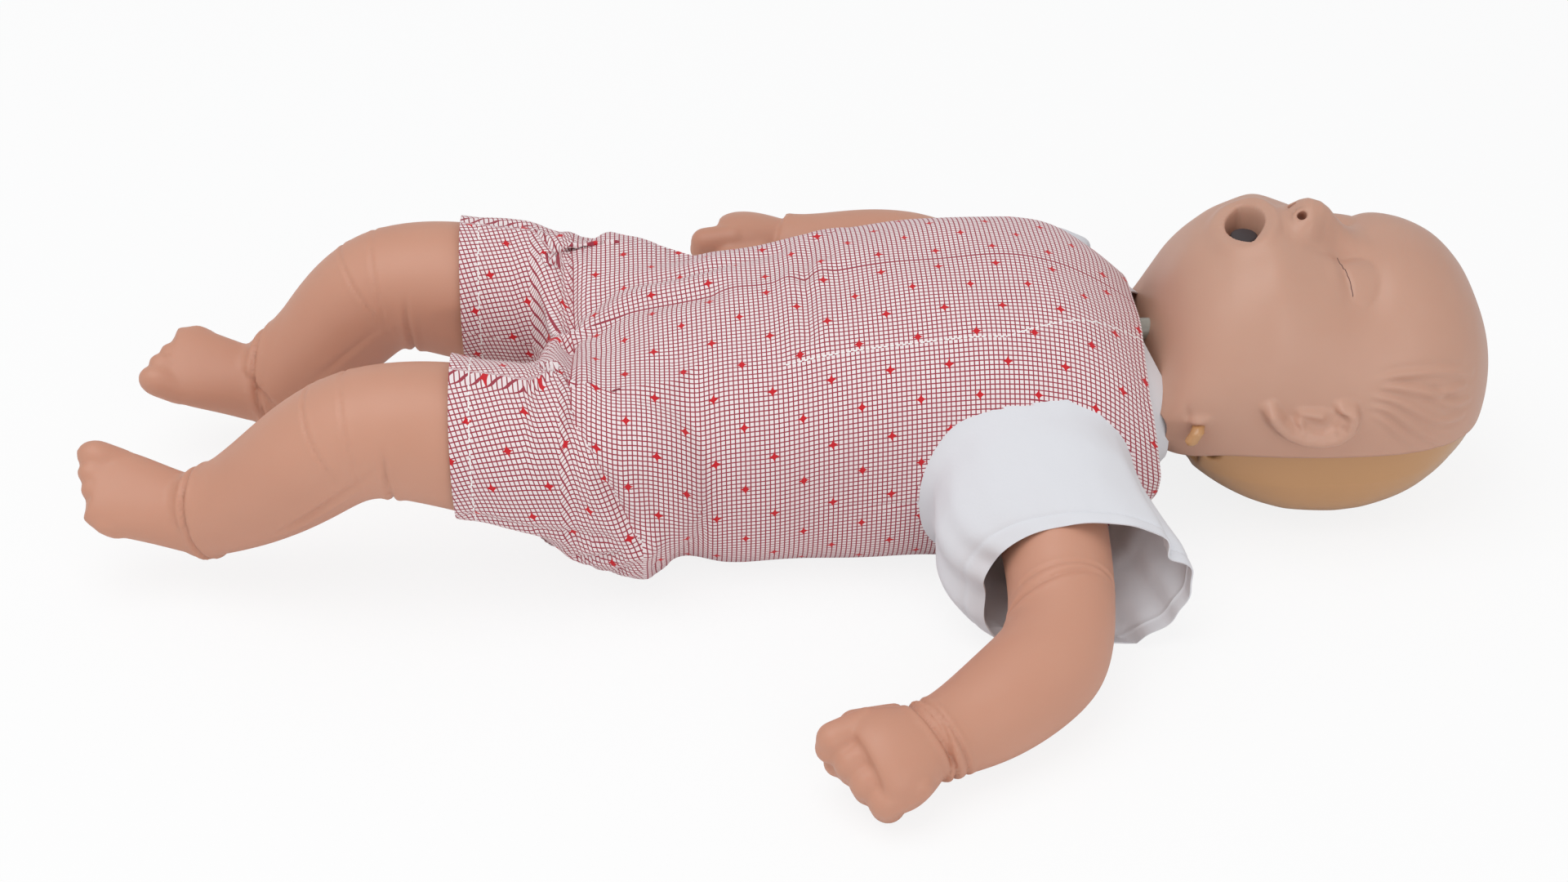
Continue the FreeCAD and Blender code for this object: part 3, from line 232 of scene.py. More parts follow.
def grid_object(name, points, wrap=False):
    """A mesh from a grid of points in millimetres."""
    rows, columns = points.shape[:2]
    used = columns - 1 if wrap else columns
    vertices = points[:, :used].reshape(-1, 3) / 1000.0
    faces = []
    for i in range(rows - 1):
        for j in range(columns - 1):
            right = (j + 1) % used if wrap else j + 1
            faces.append((i * used + j, i * used + right, (i + 1) * used + right, (i + 1) * used + j))
    mesh = bpy.data.meshes.new(name)
    mesh.from_pydata(vertices.tolist(), [], faces)
    mesh.update()
    thing = bpy.data.objects.new(name, mesh)
    bpy.context.scene.collection.objects.link(thing)
    thing.data.polygons.foreach_set("use_smooth", [True] * len(mesh.polygons))
    return thing


def apply_modifiers(thing):
    """Turns the modifiers of a piece into plain mesh."""
    bpy.ops.object.select_all(action="DESELECT")
    thing.select_set(True)
    bpy.context.view_layer.objects.active = thing
    for modifier in list(thing.modifiers):
        bpy.ops.object.modifier_apply(modifier=modifier.name)


def give_wall(thing, thickness, offset):
    """Gives a piece of one surface its wall, as plain mesh."""
    wall = thing.modifiers.new("wall", "SOLIDIFY")
    wall.thickness = thickness
    wall.offset = offset
    apply_modifiers(thing)


def smooth_sides(thing, degrees=40.0):
    """Smooth shading that keeps edges sharper than an angle."""
    bpy.ops.object.select_all(action="DESELECT")
    thing.select_set(True)
    bpy.context.view_layer.objects.active = thing
    bpy.ops.object.shade_smooth_by_angle(angle=math.radians(degrees))


head_rows = [
    (129.5, 50.0, 34.0, 99.0),
    (137.0, 53.0, 27.0, 116.0),
    (150.0, 56.0, 16.0, 131.0),
    (170.0, 58.0, 5.0, 137.0),
    (190.0, 59.0, 1.0, 133.0),
    (210.0, 59.0, 0.0, 128.5),
    (232.0, 57.5, 1.5, 127.0),
    (250.0, 52.5, 7.0, 119.0),
    (263.0, 44.0, 17.0, 107.0),
    (272.0, 32.0, 30.0, 92.0),
    (277.5, 18.0, 44.0, 78.0),
    (279.6, 0.4, 60.6, 61.4),
]


def face_crowd(curve):
    """Closer rows of points round the mouth, nose and eyes."""
    return 1.0 + 1.1 * np.exp(-(((curve[:, 0] - 186.0) / 26.0) ** 4))


head_curve = crowded(smooth_curve(head_rows), 196, face_crowd)
across_share = np.linspace(0.0, 1.0, 1200)
thick = 1.0 + 1.0 * np.exp(-(((across_share - 0.5) / 0.17) ** 4))
for ear_share in (0.09, 0.91):
    thick += 1.1 * np.exp(-(((across_share - ear_share) / 0.08) ** 2))
running = np.concatenate(([0.0], np.cumsum((thick[1:] + thick[:-1]) / 2)))
across_share = np.interp(np.linspace(0.0, running[-1], 236), running, across_share)
head_points = np.zeros((len(head_curve), len(across_share), 3))
for i, (x, half, low, high) in enumerate(head_curve):
    middle = (low + high) / 2
    tall = (high - low) / 2
    seam = 50.5 - 6.3 * math.exp(-(((x - 134.0) / 14.0) ** 2))
    reach = max(-0.985, min(0.985, (seam - middle) / tall))
    first = math.asin(np.sign(reach) * abs(reach) ** 1.04)
    if seam < low:
        first = -math.pi / 2
    angle = first + (math.pi - 2 * first) * across_share
    head_points[i, :, 0] = x
    head_points[i, :, 1] = -half * rounded(np.cos(angle), 2.08)
    head_points[i, :, 2] = middle + tall * rounded(np.sin(angle), 2.08)

x = head_points[:, :, 0]
y = head_points[:, :, 1]
z = head_points[:, :, 2]
out = grid_normals(head_points)
if out[100, 118, 2] < 0:
    out = -out
top = np.clip((z - 90.0) / 20.0, 0.0, 1.0)
side = np.abs(y)
rise_at = [176, 179, 182, 184.5, 187, 190, 194, 198, 202, 207, 213, 219]
rise = np.interp(x, rise_at, [0, 0.6, 2.6, 6.6, 10.0, 12.0, 12.4, 10.6, 7.6, 4.2, 1.4, 0])
width = np.interp(x, [176, 186, 190, 196, 203, 212], [9.4, 9.6, 9.0, 7.6, 6.6, 8.0])
lift = rise * np.exp(-((side / width) ** 2.4))
lift += 2.2 * hill(x, side, 190.5, 8.4, 4.4, 3.6)
lift -= 0.8 * hill(x, side, 192.0, 14.0, 6.0, 3.4)
lift += 1.4 * hill(x, side, 171.0, 33.0, 18.0, 14.0)
lift += 1.5 * hill(x, side, 143.0, 0.0, 9.0, 13.0)
lift -= 1.1 * hill(x, side, 151.5, 0.0, 3.2, 9.0)
lift += 1.2 * hill(x, side, 224.0, 24.0, 9.0, 16.0)
lift -= 2.0 * hill(x, side, 205.0, 13.5, 7.0, 4.5)
lift -= 1.2 * hill(x, side, 209.0, 25.0, 11.0, 14.0, 4.0)
slit = np.interp(side, [12.0, 18.0, 24.0, 29.0, 33.0, 38.0], [202.6, 203.3, 204.0, 204.9, 205.5, 206.2])
lid = np.clip(1.0 - ((x - 210.0) / 8.4) ** 2 - ((side - 24.5) / 11.5) ** 2, 0.0, 1.0)
lift += 2.6 * lid**0.9 * np.clip((x - slit) / 1.3, 0.0, 1.0) * top
lift += 0.9 * hill(x, side, 199.8, 25.0, 3.4, 9.0)
mouth_far = np.hypot((x - 165.0) / 10.2, side / 14.4)
lift += 1.5 * np.exp(-(((mouth_far - 1.22) / 0.26) ** 2)) * top
ear_band = [
    (169.2, 79.2), (171.0, 75.6), (174.2, 71.0), (178.6, 66.8), (184.8, 63.8), (192.2, 62.6),
    (199.0, 64.0), (203.4, 68.0), (204.4, 73.6), (203.2, 77.6), (200.6, 79.0),
]
ear_fold = [(182.5, 71.5), (184.5, 68.6), (188.5, 66.7), (193.5, 66.4), (198.0, 68.4), (200.0, 72.5)]
ear_flap = [(183.0, 75.6), (187.5, 75.0), (191.5, 74.2)]
near_ear = (side > 40.0) & (z > 44.0) & (z < 92.0)
band = distance_to_path(x, z, ear_band)
fold = distance_to_path(x, z, ear_fold)
flap = distance_to_path(x, z, ear_flap)
fade = np.clip((x - 165.0) / 5.0, 0.35, 1.0) * np.clip((82.5 - z) / 6.0, 0.0, 1.0)
ear = 6.6 * fade * np.exp(-((band / 3.3) ** 3.4))
dish = np.clip(1.0 - ((x - 190.5) / 13.0) ** 2 - ((z - 69.5) / 8.5) ** 2, 0.0, 1.0)
ear += 1.6 * np.sqrt(dish) * (1.0 - np.exp(-((band / 3.1) ** 4.0)))
ear += 2.6 * np.exp(-((fold / 1.7) ** 2)) * (1.0 - np.exp(-((band / 3.1) ** 4.0)))
ear += 1.5 * np.exp(-((flap / 1.9) ** 2))
lift += np.where(near_ear, ear, 0.0)
hair = np.zeros_like(x)
strands = [
    [(213.2, 90.2), (224.1, 91.3), (234.3, 90.2), (248.9, 86.5), (260.5, 81.4)],
    [(214.1, 87.8), (222.7, 86.3), (231.3, 82.4), (243.8, 79.0), (256.5, 78.3)],
    [(211.0, 83.1), (220.4, 80.3), (230.2, 75.1), (244.0, 65.8), (257.0, 63.9)],
    [(210.5, 78.3), (220.0, 75.5), (229.1, 67.9), (238.2, 60.2), (249.6, 52.4)],
    [(212.0, 73.6), (218.5, 69.7), (226.8, 61.8), (235.0, 54.8)],
    [(222.3, 86.9), (234.9, 82.8), (248.6, 72.9), (260.1, 70.1)],
]
for n, strand in enumerate(strands):
    line = crowded(smooth_curve(strand, 60), 16)
    gap = distance_to_path(x, z, [tuple(point) for point in line])
    ends = np.clip((x - strand[0][0]) / 8.0, 0.0, 1.0) * np.clip((strand[-1][0] + 4.0 - x) / 12.0, 0.0, 1.0)
    hair += ends * (0.8 * np.exp(-((gap / 1.5) ** 2)) - 0.5 * np.exp(-(((gap - 2.9) / 1.3) ** 2)))
lift += np.where(side > 12.0, hair, 0.0)
head_points = head_points + out * lift[:, :, None]
peg_hood = 2.6 * hill(x, z, 142.0, 71.5, 3.8, 3.0) - 0.8 * hill(x, z, 138.5, 76.0, 1.1, 7.0)
head_points += out * np.where((side > 40.0) & (z > 55.0), peg_hood, 0.0)[:, :, None]


def head_shape(spots):
    """Draws the head to its cast form: a lower chin and brow, a shorter crown and a longer throat."""
    x, y, z = spots[..., 0], spots[..., 1], spots[..., 2]
    high = np.clip((z - 58.0) / 50.0, 0.0, 1.0)
    high = high * high * (3.0 - 2.0 * high)
    drop_at = [118, 124, 133, 143, 154, 165, 175, 184, 197, 218, 228, 239, 249, 262, 280]
    drop_by = [34.0, 33.0, 25.0, 11.0, 6.2, 4.0, 1.4, 2.0, 3.8, 4.4, 3.2, 1.4, 0.6, 0.0, 0.0]
    drops = smooth_curve(list(zip(drop_at, drop_by)))
    drop = np.interp(x, drops[:, 0], drops[:, 1])
    shorter = 4.4 * np.clip((x - 212.0) / 66.0, 0.0, 1.0) ** 1.5
    throat = np.clip((154.0 - x) / 24.0, 0.0, 1.0)
    over = np.clip((z - 60.0) / 36.0, 0.0, 1.0)
    longer = 5.0 * over * over * (3.0 - 2.0 * over) * throat * throat * (3.0 - 2.0 * throat)
    return np.stack([x - shorter - longer, y, z - drop * high], axis=-1)


head_points = head_shape(head_points)
face = grid_object("face_skin_soft", head_points)


def closed_outline(corners, count):
    """A smooth closed outline through corners, as pairs of numbers."""
    ring = smooth_curve(corners[-3:-1] + corners + corners[1:3], 700)
    first = int(np.argmin(np.hypot(ring[:350, 0] - corners[0][0], ring[:350, 1] - corners[0][1])))
    last = 350 + int(np.argmin(np.hypot(ring[350:, 0] - corners[0][0], ring[350:, 1] - corners[0][1])))
    outline = crowded(ring[first : last + 1], count)
    outline[-1] = outline[0]
    return outline


def inside_shape(across, along, shape):
    """True inside a closed outline."""
    found = False
    for (x0, y0), (x1, y1) in zip(shape, shape[1:]):
        if (y0 > along) != (y1 > along) and across < (x1 - x0) * (along - y0) / (y1 - y0) + x0:
            found = not found
    return found


def sink_pocket(work, centre, across, along, outline, reach, level, steps):
    """Cuts an outline out of a skin and draws a pocket inward from its rim. Lengths are in millimetres."""
    across = Vector(across).normalized()
    along = (Vector(along) - across * across.dot(Vector(along))).normalized()
    outward = across.cross(along)
    centre = Vector(centre)
    gone = []
    rim = set()
    for piece in work.faces:
        away = piece.calc_center_median() * 1000.0 - centre
        if away.length < reach and inside_shape(away.dot(across), away.dot(along), outline):
            gone.append(piece)
            rim.update(piece.verts)
    bmesh.ops.delete(work, geom=gone, context="FACES")
    rim = {v for v in rim if v.is_valid and v.is_boundary}
    edges = [e for e in work.edges if e.is_boundary and e.verts[0] in rim and e.verts[1] in rim]
    loop = [edges[0].verts[0], edges[0].verts[1]]
    while True:
        onward = [e.other_vert(loop[-1]) for e in loop[-1].link_edges if e in edges]
        onward = [v for v in onward if v is not loop[-2]]
        if not onward or onward[0] is loop[0]:
            break
        loop.append(onward[0])
    flat = np.array([[(v.co * 1000.0 - centre).dot(w) for w in (across, along, outward)] for v in loop])
    angles = np.unwrap(np.arctan2(flat[:, 1], flat[:, 0]))
    whole = 2 * math.pi * np.sign(angles[-1] - angles[0])
    for _ in range(8):
        before = np.concatenate(([angles[-1] - whole], angles[:-1]))
        after = np.concatenate((angles[1:], [angles[0] + whole]))
        angles = (before + after + angles * 2.0) / 4.0
    outline_angles = np.arctan2(outline[:, 1], outline[:, 0])
    start = {}
    for v, angle, c in zip(loop, angles, flat[:, 2]):
        gap = np.abs((outline_angles - angle + math.pi) % (2 * math.pi) - math.pi)
        k = int(np.argmin(gap))
        start[v] = (float(outline[k, 0]), float(outline[k, 1]), float(c))
        v.co = (centre + across * start[v][0] + along * start[v][1] + outward * start[v][2]) / 1000.0
    source = {v: v for v in rim}
    for scale, drop in steps:
        made = bmesh.ops.extrude_edge_only(work, edges=edges)["geom"]
        edges = [g for g in made if isinstance(g, bmesh.types.BMEdge) and g.is_boundary]
        followed = {}
        for v in [g for g in made if isinstance(g, bmesh.types.BMVert)]:
            root = source[[e.other_vert(v) for e in v.link_edges if e.other_vert(v) in source][0]]
            a, b, c = start[root]
            c = c * max(0.0, 1.0 + drop / level) + drop
            v.co = (centre + across * a * scale + along * b * scale + outward * c) / 1000.0
            followed[v] = root
        source = followed
    bmesh.ops.holes_fill(work, edges=edges, sides=0)


mouth_corners = [
    (-8.8, 0.0), (-8.4, 4.4), (-6.6, 9.0), (-3.6, 12.8), (0.6, 15.4), (3.2, 13.2), (6.0, 9.6), (8.0, 5.0),
    (8.6, 0.0), (8.0, -5.0), (6.0, -9.6), (3.2, -13.6), (0.8, -16.2), (-3.6, -13.0), (-6.6, -9.0),
    (-8.4, -4.4), (-8.8, 0.0),
]
mouth_outline = closed_outline(mouth_corners, 900)
turns = np.linspace(0.0, 2 * math.pi, 361)
round_hole = np.stack([2.1 * np.cos(turns), 2.1 * np.sin(turns)], axis=1)
sculpt = bmesh.new()
sculpt.from_mesh(face.data)
mouth_place = (165.2, 0.0, 135.2)
mouth_steps = [
    (0.97, -0.15), (0.93, -0.8), (0.90, -2.0), (0.87, -5.5), (0.82, -12.0), (0.76, -19.0), (0.73, -25.5),
]
sink_pocket(sculpt, mouth_place, (1, 0, 0), (0, 1, 0), mouth_outline, 26.0, 8.0, mouth_steps)
nostril_steps = [(0.96, -0.2), (0.9, -0.7), (0.86, -2.0), (0.8, -4.0)]
nostrils = [
    ((187.9, -3.6, 135.6), (1.0, 0.0, 0.1), (0.0, 0.75, 0.66)),
    ((185.6, 4.8, 136.8), (1.0, 0.0, 0.3), (0.0, 0.85, -0.3)),
]
for place, across, along in nostrils:
    sink_pocket(sculpt, place, across, along, round_hole, 6.0, 3.0, nostril_steps)
bmesh.ops.recalc_face_normals(sculpt, faces=sculpt.faces)
sculpt.to_mesh(face.data)
sculpt.free()
face.data.polygons.foreach_set("use_smooth", [True] * len(face.data.polygons))
skin_wall = 0.0022
give_wall(face, skin_wall, -1.0)


def vinyl_material(name, main, deep, roughness):
    """Satin vinyl in two close tones, with a little light under the surface."""
    material, tree = new_material(name)
    place = add_node(tree, "TexCoord").node.outputs["Object"]
    # Clouds of tone are about 60 mm across, and the mould's grain is about 0.8 mm.
    clouds = add_node(tree, "TexNoise", sockets={"Vector": place, "Scale": 17.0, "Detail": 3.0})
    grain = add_node(tree, "TexNoise", sockets={"Vector": place, "Scale": 1300.0})
    tones = {"Factor": clouds, "A": linear(main), "B": linear(deep)}
    skin = {
        "Base Color": add_node(tree, "Mix", data_type="RGBA", sockets=tones),
        "Normal": add_node(tree, "Bump", sockets={"Strength": 0.06, "Distance": 0.0003, "Height": grain}),
        "Roughness": roughness,
        "Specular IOR Level": 0.42,
        "Subsurface Weight": 0.12,
        "Subsurface Radius": (1.0, 0.45, 0.3),
        "Subsurface Scale": 0.003,
    }
    add_node(tree, "OutputMaterial", add_node(tree, "BsdfPrincipled", sockets=skin))
    return material


# Soft vinyl cast in a satin mould: a warm peach with broad dull highlights and soft shadows.
vinyl = vinyl_material("face_vinyl", "#CDA28D", "#C0907A", 0.42)
face.data.materials.append(vinyl)
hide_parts("face_skin")
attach(face, "head")


# Eye slits: the fine dark line where each closed eyelid meets the cheek. On the real piece it is a cut in the
# cast vinyl, dark only from the shade inside it; here it is a thin dark strip laid on the skin, painted shade
# for that cut.
def plain_material(name, colour, roughness, metal=0.0, clear=0.0, coat=0.0):
    """An even material: plastic, rubber, metal or clear vinyl."""
    material, tree = new_material(name)
    finish = {
        "Base Color": linear(colour),
        "Roughness": roughness,
        "Metallic": metal,
        "Transmission Weight": clear,
        "Coat Weight": coat,
        "Coat Roughness": 0.15,
    }
    add_node(tree, "OutputMaterial", add_node(tree, "BsdfPrincipled", sockets=finish))
    return material


def ribbon_on(thing, name, path, half_width, above):
    """A thin strip laid on a skin along a path of points in millimetres."""
    line = crowded(smooth_curve(path, 80), 30)
    strips = []
    for shift in (-1.0, -0.4, 0.4, 1.0):
        row = []
        for spot in line:
            found, place, normal, _ = thing.closest_point_on_mesh(Vector(spot) / 1000.0)
            lifted = above if abs(shift) < 0.5 else -0.15
            row.append(place * 1000.0 + normal * lifted + Vector((half_width * shift, 0.0, 0.0)))
        strips.append(row)
    return grid_object(name, np.array(strips).transpose(1, 0, 2))


# Painted shade for the eye slits: a dark brown strip, matte and thin.
slit_shade_material = plain_material("painted_slit_shade", "#4C3133", 0.7)
eye_slit_path = [
    (203.0, 13.7, 122.4), (203.3, 18.8, 122.3), (204.0, 24.3, 120.9), (204.9, 29.4, 118.1),
    (205.5, 33.3, 114.9),
]
# One strip of painted slit shade on each side of the face.
for side, word in ((-1, "left"), (1, "right")):
    line = ribbon_on(face, "painted_slit_shade_" + word, [(a, side * b, c) for a, b, c in eye_slit_path], 0.24, 0.12)
    line.data.materials.append(slit_shade_material)
    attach(line, "head")


# Skull: two hard shells under the face, a glossy tan back that carries the hooked pegs and an orange front
# that shows at the throat. Both are injection mouldings.
def read_points(thing):
    """A piece's vertex places in millimetres."""
    spots = np.empty(len(thing.data.vertices) * 3)
    thing.data.vertices.foreach_get("co", spots)
    return spots.reshape(-1, 3) * 1000.0


def write_points(thing, spots):
    """Gives a piece's vertices new places in millimetres."""
    thing.data.vertices.foreach_set("co", (spots / 1000.0).ravel())
    thing.data.update()


def read_normals(thing):
    """A piece's vertex directions."""
    ways = np.empty(len(thing.data.vertices) * 3)
    thing.data.vertices.foreach_get("normal", ways)
    return ways.reshape(-1, 3)


def section_at(rows, place):
    """The measures of an outline at a place along the body, from rows that start with their place."""
    rows = np.array(rows)
    return [np.interp(place, rows[:, 0], column) for column in rows.T[1:]]


def soft_copy(name, node, voxel, rounds):
    """A rounded copy of a hard-edged piece, as one even skin."""
    source = frame["nodes"][node]
    thing = bpy.data.objects.new(name, source.data.copy())
    bpy.context.scene.collection.objects.link(thing)
    thing.data.materials.clear()
    work = bmesh.new()
    work.from_mesh(thing.data)
    bmesh.ops.remove_doubles(work, verts=work.verts, dist=1e-6)
    work.to_mesh(thing.data)
    work.free()
    skin = thing.modifiers.new("skin", "REMESH")
    skin.mode = "VOXEL"
    skin.voxel_size = voxel
    soft = thing.modifiers.new("soft", "SMOOTH")
    soft.factor = 0.5
    soft.iterations = rounds
    apply_modifiers(thing)
    thing.data.polygons.foreach_set("use_smooth", [True] * len(thing.data.polygons))
    return thing


def fuller_back(spots):
    """Squares off the skull's underside, as the casting is, and sets the pegs a little higher."""
    half, low, high = section_at(head_rows, spots[:, 0])
    middle = (low + high) / 2
    tall = (high - low) / 2
    across = np.abs(spots[:, 1]) / half
    up = (spots[:, 2] - middle) / tall
    power_at = [140, 154, 165, 175, 186, 207, 218, 228, 239, 249, 260]
    power = np.interp(spots[:, 0], power_at, [2.1, 2.5, 2.8, 3.1, 3.4, 3.4, 3.2, 2.9, 2.6, 2.3, 2.08])
    far = np.maximum(np.hypot(across, up), 1e-6)
    a = across / far
    b = np.abs(up) / far
    now = (a**2.08 + b**2.08) ** (-1 / 2.08)
    new = (a**power + b**power) ** (-1 / power)
    fade = np.clip((50.0 - spots[:, 2]) / 14.0, 0.0, 1.0)
    scale = 1.0 + (new / now - 1.0) * fade
    peg = (spots[:, 0] < 152.0) & (np.abs(spots[:, 1]) > 52.0) & (spots[:, 2] > 48.0)
    scale = np.where(peg, 1.0, scale)
    eased = spots.copy()
    eased[:, 1] *= scale
    eased[:, 2] = middle + (spots[:, 2] - middle) * scale
    eased[:, 2] = np.maximum(eased[:, 2], 0.1)
    eased[:, 0] -= np.where(peg, 4.2 * np.clip((spots[:, 2] - 53.0) / 12.0, 0.0, 1.0), 0.0)
    eased[:, 2] += np.where(peg, 1.5 + 7.0 * np.clip((66.0 - spots[:, 2]) / 12.5, 0.0, 1.0), 0.0)
    return eased


# Hard polystyrene moulded in a polished tool: an even tan with a clear gloss.
tan_shell = plain_material("tan_shell", "#C08F60", 0.28, coat=0.3)
# The same plastic in a deep orange, a little less polished.
orange_shell = plain_material("orange_shell", "#B4471C", 0.35, coat=0.2)
back_skull = soft_copy("back_skull_soft", "back_skull", 0.0015, 2)
write_points(back_skull, head_shape(fuller_back(read_points(back_skull))))
back_skull.data.materials.append(tan_shell)
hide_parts("back_skull")
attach(back_skull, "head")
front_skull = soft_copy("front_skull_soft", "front_skull", 0.0018, 2)
inner_place = np.array([190.0, 0.0, 60.0])
shrunk = inner_place + (read_points(front_skull) - inner_place) * 0.985
above_cheek = np.clip((shrunk[:, 2] - 85.0) / 20.0, 0.0, 1.0)
below_nose = np.clip((192.0 - shrunk[:, 0]) / 10.0, 0.0, 1.0)
shrunk[:, 2] -= 2.2 * above_cheek * below_nose
write_points(front_skull, head_shape(shrunk))
front_skull.data.materials.append(orange_shell)
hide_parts("front_skull")
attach(front_skull, "head")


# Airway plug: a dark soft rubber piece with a rounded rim, pressed into the bottom of the mouth pocket.
# The lungs' air comes up past it.
plug_radius = 0.0058
plug_height = 0.0165
plug_place = (0.1652, -0.001, 0.11835)
# Dark moulded rubber: almost black, dull, with a soft edge to its highlights.
plug_rubber = plain_material("dark_rubber", "#3F3638", 0.6)
bpy.ops.mesh.primitive_cylinder_add(vertices=48, radius=plug_radius, depth=plug_height, location=plug_place)
plug = bpy.context.object
plug.name = "airway_plug_soft"
bpy.ops.object.transform_apply(location=True, rotation=True, scale=True)
edge = plug.modifiers.new("edge", "BEVEL")
edge.width = 0.0012
edge.segments = 4
apply_modifiers(plug)
smooth_sides(plug)
plug.data.materials.append(plug_rubber)
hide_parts("airway_plug")
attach(plug, "head")


# Airway tubes: clear soft vinyl, a corrugated length in the head and a plain hose down to the lung bag.
# Both are extruded and pushed on to their spigots.
def paint(node, material):
    """Gives a piece its material."""
    thing = frame["nodes"][node]
    thing.data.materials.clear()
    thing.data.materials.append(material)


# Clear vinyl hose: milky and see-through, with a wet shine.
clear_tube = plain_material("clear_tube", "#DAD8CC", 0.25, clear=0.55)
paint("throat_tube", clear_tube)
paint("airway_hose", clear_tube)


# Neck joint: a moulded bracket on the trunk's front wall carries the head's hinge. A plain steel pin is
# pressed through it, and two steel screws hold it.

# Body plastic: satin moulded polypropylene in a dull flesh tone.
body_plastic = plain_material("body_plastic", "#D2B5A0", 0.5)
# Bright drawn steel: grey metal with a soft streakless shine.
steel = plain_material("steel", "#B8B8B8", 0.32, metal=1.0)
paint("neck_bracket", body_plastic)
paint("neck_pin", steel)
paint("neck_screws", steel)


# Trunk: a hollow tub moulded in hard plastic, with a seat for each limb's collar. A soft cast vinyl cover
# laps over the lip of its open top and makes the chest's skin.
paint("trunk_shell", body_plastic)
paint("chest_cover", vinyl)


# Chest works: the moulded rib plate slides on a guide post and stands on a steel coil spring. The lung bag,
# welded from thin film, lies on the plate under the cover.

# Milky film: thin soft plastic, whitish and slightly shiny.
bag_film = plain_material("bag_film", "#E2E2DE", 0.4)
paint("spring_post", body_plastic)
paint("chest_plate", body_plastic)
paint("chest_spring", steel)
paint("lung_bag", bag_film)


# Arms and legs: hollow mouldings, each cast in one piece in a slightly redder vinyl than the face.
# They have chubby folds at wrist, elbow, knee and ankle, and snap into the trunk by their collars.
def press_rings(thing, rings):
    """Presses creases into a limb: each is (point, direction, width, depth, side, reach) in millimetres.
    A ring runs round the limb square to its direction, all round or on one side only."""
    spots = read_points(thing)
    push = np.zeros(len(spots))
    for point, direction, width, depth, side, reach in rings:
        direction = np.array(direction, float)
        direction /= np.linalg.norm(direction)
        away = spots - np.array(point, float)
        along = away @ direction
        near = np.clip(1.3 - np.linalg.norm(away, axis=1) / reach, 0.0, 0.3) / 0.3
        if side is not None:
            side_now = np.array(side, float) / np.linalg.norm(side)
            turn = (away @ side_now) / np.maximum(np.linalg.norm(away, axis=1), 1e-6)
            near = near * np.clip((turn - 0.1) / 0.5, 0.0, 1.0)
        groove = np.exp(-((along / width) ** 2))
        roll = np.exp(-(((np.abs(along) - 2.6 * width) / (1.8 * width)) ** 2))
        push += near * depth * (0.45 * roll - groove)
    write_points(thing, spots + read_normals(thing) * push[:, None])


def longer_foot(spots, ankle_x):
    """Stretches a foot beyond its ankle."""
    forward = np.array([-0.914, 0.0, 0.407])
    ankle = np.array([ankle_x, 0.0, 29.0])
    flat = spots * np.array([1.0, 0.0, 1.0])
    ahead = (flat - ankle) @ forward
    more = 0.32 * np.clip(ahead - 8.0, 0.0, None) * (spots[:, 0] < -225.0)
    return spots + more[:, None] * forward


# Limb vinyl: the face's soft cast vinyl in a redder batch, a little duller.
limb_vinyl = vinyl_material("limb_vinyl", "#D29C84", "#C68D74", 0.46)
left_arm = soft_copy("left_arm_soft", "left_arm", 0.00105, 2)
press_rings(
    left_arm,
    [
        ((18.0, -197.0, 22.0), (0.80, 0.45, 0.25), 0.8, 1.5, None, 26.0),
        ((22.5, -193.5, 22.0), (0.80, 0.45, 0.25), 0.7, 0.9, None, 26.0),
        ((74.0, -133.0, 33.0), (-0.22, 0.95, 0.12), 0.9, 0.8, (-0.5, -0.2, 0.85), 30.0),
        ((75.0, -128.5, 33.5), (-0.10, 0.98, 0.10), 0.7, 0.5, (0.2, -0.1, 0.95), 30.0),
    ],
)
right_arm = soft_copy("right_arm_soft", "right_arm", 0.0012, 5)
left_leg = soft_copy("left_leg_soft", "left_leg", 0.0013, 2)
right_leg = soft_copy("right_leg_soft", "right_leg", 0.0013, 2)


def slim_hip(spots):
    """Draws in the part of a leg that the romper covers, as a moulding is narrower under its clothes."""
    side_now = np.sign(spots[:, 1])
    share = 0.085 * np.clip((spots[:, 0] + 163.0) / 12.0, 0.0, 1.0)
    middle_z = np.interp(spots[:, 0], [-166.0, -145.0, -120.0, -80.0], [74.0, 68.0, 56.0, 53.0])
    eased = spots.copy()
    eased[:, 1] -= share * (spots[:, 1] - side_now * 54.0)
    eased[:, 2] -= share * (spots[:, 2] - middle_z)
    return eased


for leg, ankle_x in ((left_leg, -272.0), (right_leg, -255.0)):
    write_points(leg, longer_foot(slim_hip(read_points(leg)), ankle_x))
leg_rings = [
    ((-272.0, -48.0, 31.0), (0.911, -0.307, 0.215), 0.9, 1.6, None, 27.0),
    ((-211.0, -56.0, 74.0), (0.8, -0.1, 0.55), 0.7, 0.5, (-0.45, -0.4, 0.8), 34.0),
    ((-205.0, -56.0, 75.0), (0.97, 0.0, 0.2), 0.7, 0.45, (-0.15, -0.5, 0.85), 34.0),
    ((-214.0, -56.0, 66.0), (0.65, 0.1, -0.75), 1.2, 1.6, (0.45, -0.3, -0.85), 34.0),
    ((-193.0, -56.0, 76.0), (1.0, 0.0, 0.05), 0.9, 1.3, (0.1, -0.55, -0.8), 36.0),
]
press_rings(left_leg, leg_rings)
right_rings = []
for ring, (point, direction, width, depth, side, reach) in enumerate(leg_rings):
    nearer = 19.0 * max(0.0, (-100.0 - point[0]) / 174.0 - 0.45) / 0.55
    right_point = (point[0] + nearer, -point[1], point[2])
    lean = direction[1] if ring == 0 else -direction[1]
    right_rings.append((right_point, (direction[0], lean, direction[2]), width, depth, side, reach))
press_rings(right_leg, right_rings)
for thing, node, body in (
    (left_arm, "left_arm", "arm_left"),
    (right_arm, "right_arm", "arm_right"),
    (left_leg, "left_leg", "leg_left"),
    (right_leg, "right_leg", "leg_right"),
):
    thing.data.materials.append(limb_vinyl)
    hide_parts(node)
    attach(thing, body)


